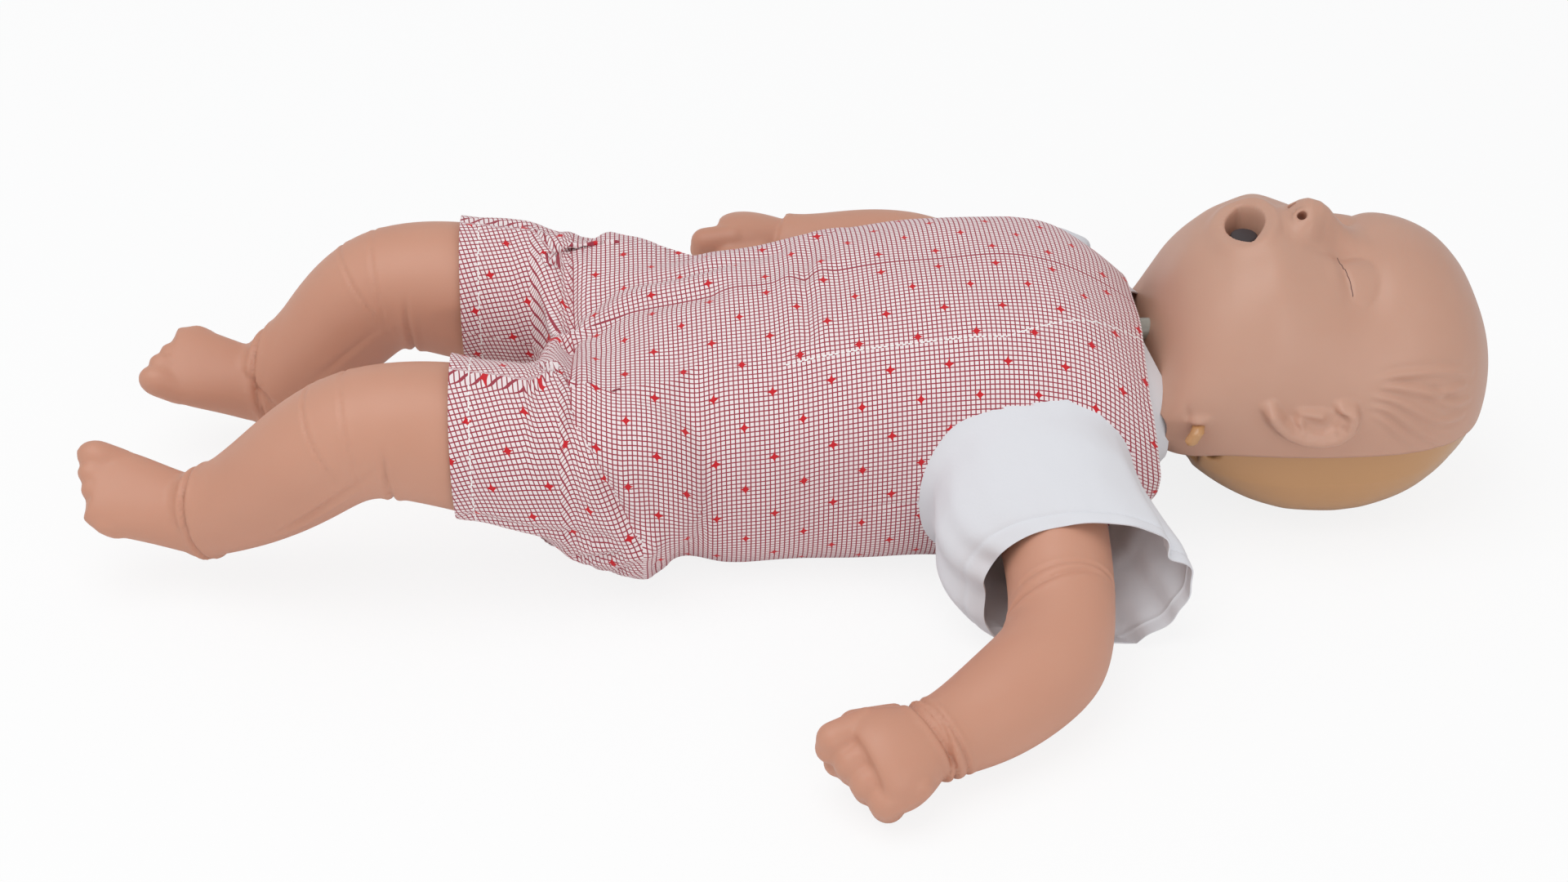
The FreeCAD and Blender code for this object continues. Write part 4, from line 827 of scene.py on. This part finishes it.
# Romper: thin woven cotton with a small red check and red four-pointed stars, sewn from a left and a right
# half. The halves meet in a seam down the middle; the legs are open tubes with turned hems.
torso_rows = [
    (-86.0, 66.0, -1.0, 95.0),
    (-60.0, 69.5, -5.0, 101.0),
    (-28.0, 70.5, -6.0, 105.0),
    (-8.0, 71.0, -6.0, 110.0),
    (25.0, 71.5, -6.0, 115.0),
    (62.0, 72.0, -6.0, 116.0),
    (84.0, 71.0, -4.0, 113.0),
    (98.0, 68.5, -2.0, 107.0),
    (109.0, 64.0, 4.0, 99.5),
    (118.0, 57.0, 12.0, 92.5),
    (124.0, 51.0, 19.0, 86.5),
]


def torso_half(x, grow, count=80):
    """Half of the dressed trunk's outline at x, from its top round the side to the floor, as (y, z)."""
    half, low, high = section_at(torso_rows, x)
    angle = np.linspace(math.pi / 2, -math.pi / 2, count)
    y = (half + grow) * np.abs(rounded(np.cos(angle), 2.5))
    z = (low + high) / 2 + ((high - low) / 2 + grow) * rounded(np.sin(angle), 2.5)
    return np.stack([y, np.maximum(z, 3.0 - grow)], axis=1)


def even_line(points, count, curved=True):
    """count points spread evenly along a line through points."""
    points = np.array(points, float)
    if curved and len(points) < 40:
        points = smooth_curve(points, 400)
    reach = reach_along(points)
    places = np.linspace(0.0, reach[-1], count)
    return np.stack([np.interp(places, reach, column) for column in points.T], axis=1)


def thigh_ring(centre_y, centre_z, radius, first, last, count):
    """Part of a ring round the thigh in a plane square to the body, as (y, z)."""
    angle = np.radians(np.linspace(first, last, count))
    return np.stack([centre_y + radius * np.cos(angle), centre_z + radius * 1.03 * np.sin(angle)], axis=1)


romper_grow = 3.6
main_count = 150
inner_count = 22
waist_line = [
    (0, 96), (20, 96.5), (40, 96.5), (58, 93), (73, 84), (82, 67), (84.5, 50), (82.5, 30), (75, 13), (62, 4),
    (40, 0.5), (0, 0),
]
hip_line = [
    (0, 89), (15, 90), (34, 94), (54, 96), (69, 91), (80.5, 77), (85.5, 60), (84, 42), (76, 24), (62, 10),
    (44, 4), (20, 7), (0, 10),
]
fork_line = [
    (0, 83), (12, 85), (26, 91), (43, 96.5), (56, 98), (69, 94), (81.5, 81), (87.5, 64), (85, 46), (76, 31),
    (63, 20), (47, 17), (29, 20), (12, 24), (0, 27),
]
hip_rows = [(-92.0, waist_line), (-108.0, hip_line), (-123.0, fork_line)]
thigh_rows = [
    (-134.0, 54.5, 65.2, 35.2),
    (-145.0, 55.5, 68.8, 34.0),
    (-156.0, 56.0, 71.8, 33.0),
    (-166.5, 56.0, 73.8, 33.4),
]
key_x = [121.5, 112.0, 104.0, 92.0, 76.0, 58.0, 38.0, 14.0, -10.0, -34.0, -56.0, -74.0]
key_lines = [even_line(torso_half(place, romper_grow), main_count, False) for place in key_x]
for place, outline in hip_rows:
    key_x.append(place)
    key_lines.append(even_line(outline, main_count))
for place, centre_y, centre_z, radius in thigh_rows:
    key_x.append(place)
    key_lines.append(even_line(thigh_ring(centre_y, centre_z, radius, 138.0, -138.0, main_count), main_count))
first_inner = key_x.index(-123.0)
upper_inner = [even_line([(0, 83), (0, 54)], inner_count, False)[::-1]]
lower_inner = [even_line([(0, 27), (0, 54)], inner_count, False)]
for place, centre_y, centre_z, radius in thigh_rows:
    upper_inner.append(thigh_ring(centre_y, centre_z, radius, 180.0, 138.0, inner_count))
    lower_inner.append(thigh_ring(centre_y, centre_z, radius, -138.0, -180.0, inner_count))


def cloth_rows(places, lines, fine):
    """Cloth lines at fine places along the body, smoothly between the given ones."""
    places = np.array(places, float)
    order = np.argsort(places)
    return between_rows(places[order], np.array(lines, float)[order], np.array(fine, float))


def romper_grid():
    """The left half of the romper as a grid in millimetres with y outward, and its flat pattern places."""
    body_x = np.linspace(121.5, -123.0, 148)
    leg_x = np.linspace(-123.0, -166.5, 30)[1:]
    main = cloth_rows(key_x, key_lines, np.concatenate([body_x, leg_x]))
    hip_far = np.hypot(np.concatenate([body_x, leg_x])[:, None] + 100.0, main[:, :, 1] - 53.0)
    hip_dome = np.sqrt(np.maximum(24.0**2 - np.clip(hip_far - 17.0, 0.0, 24.0) ** 2, 0.0))
    hip_out = 60.2 + hip_dome - 1.2 * np.maximum(hip_far - 41.0, 0.0)
    outward = main[:, :, 0]
    softly = 1.6 * np.log(np.exp((outward - 80.0) / 1.6) + np.exp((hip_out - 80.0) / 1.6)) + 80.0
    main[:, :, 0] = np.where(outward > 40.0, softly, outward)
    inner_x = key_x[first_inner:]
    upper = cloth_rows(inner_x, upper_inner, np.concatenate([[-123.0], leg_x]))
    lower = cloth_rows(inner_x, lower_inner, np.concatenate([[-123.0], leg_x]))
    return body_x, leg_x, main, upper, lower


def romper_mesh(name, side):
    """One half of the romper; side is -1 for the left and 1 for the right."""
    body_x, leg_x, main, upper, lower = romper_grid()
    all_x = np.concatenate([body_x, leg_x])
    rows = len(all_x)
    joint = len(body_x) - 1
    vertices = []
    flats = []
    index = {}

    def add(key, x_now, yz, girth):
        index[key] = len(vertices)
        strap = 6.0 * min(1.0, max(0.0, (78.0 - yz[1]) / 35.0)) * min(1.0, max(0.0, (x_now - 100.0) / 20.0))
        vertices.append(((x_now + strap) / 1000.0, side * yz[0] / 1000.0, yz[1] / 1000.0))
        flats.append((x_now, girth))

    for i in range(rows):
        line = main[i]
        if i <= joint:
            whole_reach = reach_along(line)
        shrink = np.interp(all_x[i], [-136.0, -123.0], [0.68, 1.0])
        reach = whole_reach[75] + (whole_reach - whole_reach[75]) * shrink
        for j in range(main_count):
            add((i, j), all_x[i], line[j], reach[j])
        if i >= joint:
            up = upper[i - joint]
            down = lower[i - joint]
            up_reach = reach_along(up)
            for j in range(inner_count - 1):
                add((i, j - inner_count + 1), all_x[i], up[j], reach[0] + up_reach[j] - up_reach[-1])
            down_reach = reach_along(down)
            for j in range(1, inner_count):
                add((i, main_count - 1 + j), all_x[i], down[j], reach[-1] + down_reach[j])
    faces = []
    keys = []
    for i in range(rows - 1):
        low = 0 if i < joint else -(inner_count - 1)
        high = main_count - 1 if i < joint else main_count - 1 + inner_count - 1
        for j in range(low, high):
            keys.append(((i, j), (i, j + 1), (i + 1, j + 1), (i + 1, j)))
    for four in keys:
        order = four if side > 0 else four[::-1]
        faces.append([index[key] for key in order])
    mesh = bpy.data.meshes.new(name)
    mesh.from_pydata(vertices, [], faces)
    layer = mesh.uv_layers.new(name="cloth")
    corner_order = np.array(faces).ravel()
    spread = np.array(flats)[corner_order].reshape(-1, 4, 2)
    centres = np.array(vertices)[corner_order].reshape(-1, 4, 3).mean(axis=1) * 1000.0
    fold_x = np.interp(centres[:, 2], [20, 40, 57.5, 79, 89, 98], [-92, -92, -99.4, -108, -116, -118.5])
    fold_x = np.where(np.abs(centres[:, 1]) > 60.0, fold_x, -118.5)
    on_leg = centres[:, 0] < fold_x
    turn = math.radians(-19.0 * side)
    turned = np.stack(
        [
            spread[:, :, 0] * math.cos(turn) - spread[:, :, 1] * math.sin(turn),
            spread[:, :, 0] * math.sin(turn) + spread[:, :, 1] * math.cos(turn),
        ],
        axis=2,
    )
    spread = np.where(on_leg[:, None, None], turned, spread)
    layer.data.foreach_set("uv", (spread / 100.0).astype(np.float32).ravel())
    mesh.update()
    thing = bpy.data.objects.new(name, mesh)
    bpy.context.scene.collection.objects.link(thing)
    return thing


def nearest_line(spots, path):
    """How far each place is from a bent line in space."""
    best = np.full(len(spots), 1e9)
    for first, last in zip(path, path[1:]):
        first = np.array(first, float)
        step = np.array(last, float) - first
        share = np.clip(((spots - first) @ step) / (step @ step), 0.0, 1.0)
        best = np.minimum(best, np.linalg.norm(spots - first - share[:, None] * step, axis=1))
    return best


near_hip = [
    (-119, -10, 84), (-118, -45, 98), (-116, -78, 89), (-108, -87, 76), (-99.4, -86, 57), (-92, -83, 40),
]
left_creases = [
    (near_hip, 2.4, 2.6, 1.6),
    ([(-92, -83, 40), (-104, -84, 32), (-118, -80, 27)], 1.7, 1.8, 1.0),
    ([(-91, -82, 38), (-100, -80, 20), (-106, -74, 14)], 1.6, 1.8, 1.0),
    ([(-88, -80, 36), (-86, -76, 18), (-84, -68, 8)], 1.6, 1.4, 0.8),
    ([(-160, -84, 52), (-130, -86, 46), (-100, -84, 40)], 2.2, 1.0, 0.8),
    ([(-20, -2, 112), (-20, -38, 106)], 2.6, 1.3, 0.9),
    ([(-119, -8, 84), (-95, 0, 99), (-60, 0, 104)], 4.0, 1.4, 0.9),
    ([(-95, -80, 46), (-87, -78, 45.5), (-30, -76, 46), (24, -75, 46)], 0.9, 0.9, 0.3),
]
right_creases = [
    ([(-119, 6, 84), (-120, 24, 90), (-121, 45, 97), (-110, 72, 90), (-100, 84, 66)], 2.4, 2.6, 1.6),
    ([(-119, 4, 84), (-100, 20, 99), (-60, 20, 104), (-30, 30, 108)], 3.4, 1.5, 1.0),
    ([(-13, 30, 109), (-20, 0, 112)], 2.6, 1.5, 1.0),
    ([(-6, 40, 108), (-9, 12, 113)], 2.2, 1.1, 0.8),
    ([(-150, 62, 106), (-128, 66, 97)], 2.4, 1.0, 0.7),
]


def crease_cloth(thing, creases):
    """Presses folds into cloth, each with a soft roll beside it, and lets the rest ripple a little."""
    spots = read_points(thing)
    normals = read_normals(thing)
    push = 0.4 * np.sin(spots[:, 0] / 8.5 + spots[:, 1] / 12.0)
    push += 0.3 * np.sin(spots[:, 1] / 6.5 - spots[:, 0] / 14.0)
    for path, wide, deep, roll in creases:
        gap = nearest_line(spots, path)
        push -= deep * np.exp(-((gap / wide) ** 2))
        push += roll * np.exp(-(((gap - 2.9 * wide) / (1.6 * wide)) ** 2))
    seam = np.abs(spots[:, 1]) < 0.05
    normals[seam, 1] = 0.0
    write_points(thing, spots + normals * push[:, None])


armhole = (68.5, 47.5, 45.0, 42.0)


def open_armhole(thing):
    """Cuts the armhole out of the cloth and draws its edge to a clean oval."""
    middle_x, middle_z, long, tall = armhole
    work = bmesh.new()
    work.from_mesh(thing.data)
    gone = []
    for piece in work.faces:
        spot = piece.calc_center_median() * 1000.0
        if ((spot.x - middle_x) / long) ** 2 + ((spot.z - middle_z) / tall) ** 2 < 1.0 and abs(spot.y) > 30.0:
            gone.append(piece)
    bmesh.ops.delete(work, geom=gone, context="FACES")
    for v in work.verts:
        if v.is_boundary:
            x_now, z_now = v.co.x * 1000.0, v.co.z * 1000.0
            far = math.hypot((x_now - middle_x) / long, (z_now - middle_z) / tall)
            if 0.9 < far < 1.15 and abs(v.co.y) > 0.03:
                v.co.x = (middle_x + (x_now - middle_x) / far) / 1000.0
                v.co.z = (middle_z + (z_now - middle_z) / far) / 1000.0
    work.to_mesh(thing.data)
    work.free()


# Checked cotton: a plain weave with dark red lines 0.5 mm wide every 2 mm on white, so it reads as pink, and
# small red stars every 24 mm along and 13.5 mm round. It is quite matte, with a slight fuzz at its edges.
check_lines_per_mm = 0.5
line_share = 0.26
star_along = 24.0
star_round = 13.5
stitches_per_mm = 0.4
stitch_share = 0.62
hem_place = 0.1585
thread_white = linear("#F4F0EE")
line_red = linear("#A03F4C")
checked, tree = new_material("checked_cotton")
flat_parts = add_node(tree, "SeparateXYZ", add_node(tree, "UVMap", uv_map="cloth")).node.outputs
place = add_node(tree, "TexCoord").node.outputs["Object"]
body_parts = add_node(tree, "SeparateXYZ", place).node.outputs
length_mm = add_node(tree, "Math", flat_parts["X"], 100.0, operation="MULTIPLY")
girth_mm = add_node(tree, "Math", flat_parts["Y"], 100.0, operation="MULTIPLY")
check_lines = []
for measure in (girth_mm, length_mm):
    count = add_node(tree, "Math", measure, check_lines_per_mm, operation="MULTIPLY")
    part = add_node(tree, "Math", count, operation="FRACT")
    check_lines.append(add_node(tree, "Math", part, line_share, operation="LESS_THAN"))
rounds = add_node(tree, "Math", girth_mm, star_round, operation="DIVIDE")
star_row = add_node(tree, "Math", rounds, operation="FLOOR")
odd_row = add_node(tree, "Math", star_row, 1.0, operation="PINGPONG")
half_shift = add_node(tree, "Math", odd_row, 0.5, operation="MULTIPLY")
lengths = add_node(tree, "Math", length_mm, star_along, operation="DIVIDE")
lengths = add_node(tree, "Math", lengths, half_shift, operation="ADD")
star_arms = []
for count, gap in ((lengths, star_along), (rounds, star_round)):
    part = add_node(tree, "Math", count, operation="FRACT")
    part = add_node(tree, "Math", part, 0.5, operation="SUBTRACT")
    part = add_node(tree, "Math", part, gap, operation="MULTIPLY")
    part = add_node(tree, "Math", part, operation="ABSOLUTE")
    star_arms.append(add_node(tree, "Math", part, 0.5, operation="POWER"))
star = add_node(tree, "Math", *star_arms, operation="ADD")
star = add_node(tree, "Math", star, 1.76, operation="LESS_THAN")
stitches = []
for measure in (length_mm, girth_mm):
    count = add_node(tree, "Math", measure, stitches_per_mm, operation="MULTIPLY")
    part = add_node(tree, "Math", count, operation="FRACT")
    stitches.append(add_node(tree, "Math", part, stitch_share, operation="LESS_THAN"))
past_chest = add_node(tree, "Math", length_mm, 60.0, operation="SUBTRACT")
past_chest = add_node(tree, "Math", past_chest, 0.0, operation="MAXIMUM")
inward = add_node(tree, "Math", past_chest, 0.41, operation="MULTIPLY")
placket = add_node(tree, "Math", 50.0, inward, operation="SUBTRACT")
placket = add_node(tree, "Math", girth_mm, placket, operation="SUBTRACT")
placket = add_node(tree, "Math", placket, operation="ABSOLUTE")
placket = add_node(tree, "Math", placket, 0.32, operation="LESS_THAN")
on_chest = add_node(tree, "Math", length_mm, -30.0, operation="GREATER_THAN")
on_left = add_node(tree, "Math", body_parts["Y"], 0.0, operation="LESS_THAN")
for share in (on_chest, on_left, stitches[0]):
    placket = add_node(tree, "Math", placket, share, operation="MULTIPLY")
hem = add_node(tree, "Math", body_parts["X"], hem_place, operation="ADD")
hem = add_node(tree, "Math", hem, operation="ABSOLUTE")
hem = add_node(tree, "Math", hem, 0.0003, operation="LESS_THAN")
hem = add_node(tree, "Math", hem, stitches[1], operation="MULTIPLY")
cloth_colour = linear("#F0E3E3")
for share, over in (
    (check_lines[0], line_red),
    (check_lines[1], line_red),
    (star, linear("#CB2730")),
    (placket, thread_white),
    (hem, thread_white),
):
    layers = {"Factor": share, "A": cloth_colour, "B": over}
    cloth_colour = add_node(tree, "Mix", data_type="RGBA", sockets=layers)
# The threads are about 1 mm apart here, coarser than the real weave so that they show.
thread = add_node(tree, "TexNoise", sockets={"Vector": place, "Scale": 900.0})
weave = add_node(tree, "Bump", sockets={"Strength": 0.25, "Distance": 0.0003, "Height": thread})
cloth = {
    "Base Color": cloth_colour,
    "Normal": weave,
    "Roughness": 0.92,
    "Specular IOR Level": 0.2,
    "Sheen Weight": 0.15,
}
add_node(tree, "OutputMaterial", add_node(tree, "BsdfPrincipled", sockets=cloth))

cloth_wall = 0.0007
for side, word in ((-1, "left"), (1, "right")):
    half = romper_mesh("romper_" + word + "_half", side)
    crease_cloth(half, left_creases + right_creases)
    open_armhole(half)
    give_wall(half, cloth_wall, -1.0)
    smooth_sides(half)
    half.data.materials.append(checked)
    if side < 0:
        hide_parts("romper_leg_left", "romper_body")
    else:
        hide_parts("romper_leg_right")
    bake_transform(half)


# Shirt: thin white jersey under the romper. The sleeves are short and wide, sewn in at the armholes, and hang
# open round the arms. The body shows only at the neck.

# White cotton jersey: a cool matte white with soft crumples about 26 mm across and knit loops under 1 mm.
cotton, tree = new_material("white_cotton")
place = add_node(tree, "TexCoord").node.outputs["Object"]
thread = add_node(tree, "TexNoise", sockets={"Vector": place, "Scale": 1100.0})
folds = add_node(tree, "TexNoise", sockets={"Vector": place, "Scale": 38.0, "Detail": 2.0})
crumple = add_node(tree, "Bump", sockets={"Strength": 0.6, "Distance": 0.003, "Height": folds})
knit_sockets = {"Strength": 0.15, "Distance": 0.0003, "Height": thread, "Normal": crumple}
cloth = {
    "Base Color": linear("#DFDFE3"),
    "Normal": add_node(tree, "Bump", sockets=knit_sockets),
    "Roughness": 0.9,
    "Specular IOR Level": 0.2,
    "Sheen Weight": 0.12,
}
add_node(tree, "OutputMaterial", add_node(tree, "BsdfPrincipled", sockets=cloth))
shirt_rows = [
    (52.0, 70.0, -4.0, 113.0, 90.0),
    (84.0, 70.0, -3.0, 111.0, 90.0),
    (98.0, 67.5, -1.0, 105.0, 90.0),
    (109.0, 63.0, 5.0, 97.5, 90.0),
    (116.0, 58.0, 12.0, 92.0, 88.0),
    (121.0, 53.5, 19.0, 87.5, 78.0),
    (126.0, 49.0, 26.0, 83.0, 62.0),
    (131.0, 45.5, 33.0, 79.0, 44.0),
]
shirt_lines = 60
shirt_line_points = 161
shirt_ease = 1.2
shirt_points = np.zeros((shirt_lines, shirt_line_points, 3))
for i, place in enumerate(np.linspace(shirt_rows[0][0], shirt_rows[-1][0], shirt_lines)):
    half, low, high, start = section_at(shirt_rows, place)
    angle = np.radians(np.linspace(start, -180.0 - start, shirt_line_points))
    up = (low + high) / 2 + ((high - low) / 2 + shirt_ease) * rounded(np.sin(angle), 2.5)
    shirt_points[i, :, 0] = place
    shirt_points[i, :, 1] = (half + shirt_ease) * rounded(np.cos(angle), 2.5)
    shirt_points[i, :, 2] = np.maximum(up, 1.5)
wrinkle = np.sin(shirt_points[:, :, 2] / 4.5 + shirt_points[:, :, 0] / 6.0)
wrinkle *= np.clip((shirt_points[:, :, 0] - 112.0) / 8.0, 0.0, 1.0)
shirt_points[:, :, 1] *= 1.0 + 0.012 * wrinkle
shirt = grid_object("shirt_body_soft", shirt_points)
give_wall(shirt, cloth_wall, 0.0)
smooth_sides(shirt)
shirt.data.materials.append(cotton)
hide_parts("shirt_body")
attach(shirt, "trunk")


def torso_side(x, z, grow):
    """How far out the dressed trunk's side is at a place, in millimetres."""
    half, low, high = section_at(torso_rows, x)
    share = np.clip(np.abs((z - (low + high) / 2) / ((high - low) / 2 + grow)), 0.0, 0.985)
    return (half + grow) * (1.0 - share**2.5) ** (1 / 2.5)


def sleeve_object(name, side):
    """One sleeve, from under the romper's armhole out to its open hem."""
    count = 190
    ring_count = 74
    angle = np.linspace(0.0, 2 * math.pi, count + 1)
    rings = [
        (None, 68.5, 48.0, 50.0, 47.5, 1.4),
        (None, 69.0, 47.5, 46.0, 43.0, 1.9),
        (None, 70.5, 47.5, 43.0, 39.5, 5.0),
        (82.0, 72.0, 46.5, 43.0, 37.0, 0.0),
        (90.0, 73.5, 43.5, 45.0, 35.0, 0.0),
        (98.0, 75.5, 40.0, 47.0, 34.0, 0.0),
        (106.0, 79.5, 36.0, 47.5, 33.5, 0.0),
        (112.0, 84.0, 32.5, 45.0, 33.5, 0.0),
        (116.0, 88.0, 30.5, 42.0, 33.5, 0.0),
    ]
    keys = []
    for y, middle_x, middle_z, long, tall, grow in rings:
        x_ring = middle_x + long * rounded(np.cos(angle), 2.15)
        z_ring = middle_z + tall * rounded(np.sin(angle), 2.15)
        if y is None:
            y_ring = torso_side(np.clip(x_ring, -80, 117.5), z_ring, grow + 1.0)
        else:
            y_ring = np.full_like(x_ring, y)
        keys.append(np.stack([x_ring, y_ring, z_ring], axis=1))
    keys = np.array(keys)
    rows = cloth_rows(np.arange(len(keys)), keys, np.linspace(0, len(keys) - 1, ring_count))
    down = np.linspace(0.0, 1.0, ring_count)[:, None]
    out = grid_normals(rows)
    centre = rows.mean(axis=1, keepdims=True)
    facing = np.sum(out * (rows - centre), axis=2, keepdims=True)
    out = np.where(facing < 0, -out, out)
    wave = np.sin(angle * 5 + 0.6 + down * 1.5)
    wave = wave + 0.7 * np.sin(angle * 9 + 2.1 - down * 2.0) + 0.5 * np.sin(angle * 14 + 4.0)
    size = np.clip((down - 0.15) / 0.85, 0.0, 1.0) ** 1.2 * 2.1
    over_arm = np.clip((np.sin(angle) - 0.55) / 0.3, 0.0, 1.0)
    rows = rows + out * (wave * size * (1.0 - 0.75 * over_arm))[:, :, None]
    hem = np.exp(-(((down - 0.86) / 0.012) ** 2)) * 0.5
    rows = rows - out * np.broadcast_to(hem, wave.shape)[:, :, None]
    rows[:, :, 2] = np.maximum(rows[:, :, 2], 0.7 + 0.6 * np.sin(angle * 11) ** 2)
    rows[:, :, 1] *= side
    if side < 0:
        rows = rows[:, ::-1]
    rows[:, -1] = rows[:, 0]
    return grid_object(name, rows, wrap=True)


for side, word in ((-1, "left"), (1, "right")):
    sleeve = sleeve_object("sleeve_" + word, side)
    give_wall(sleeve, cloth_wall, 0.0)
    smooth_sides(sleeve)
    sleeve.data.materials.append(cotton)
    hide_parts(word + "_sleeve")
    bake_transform(sleeve)
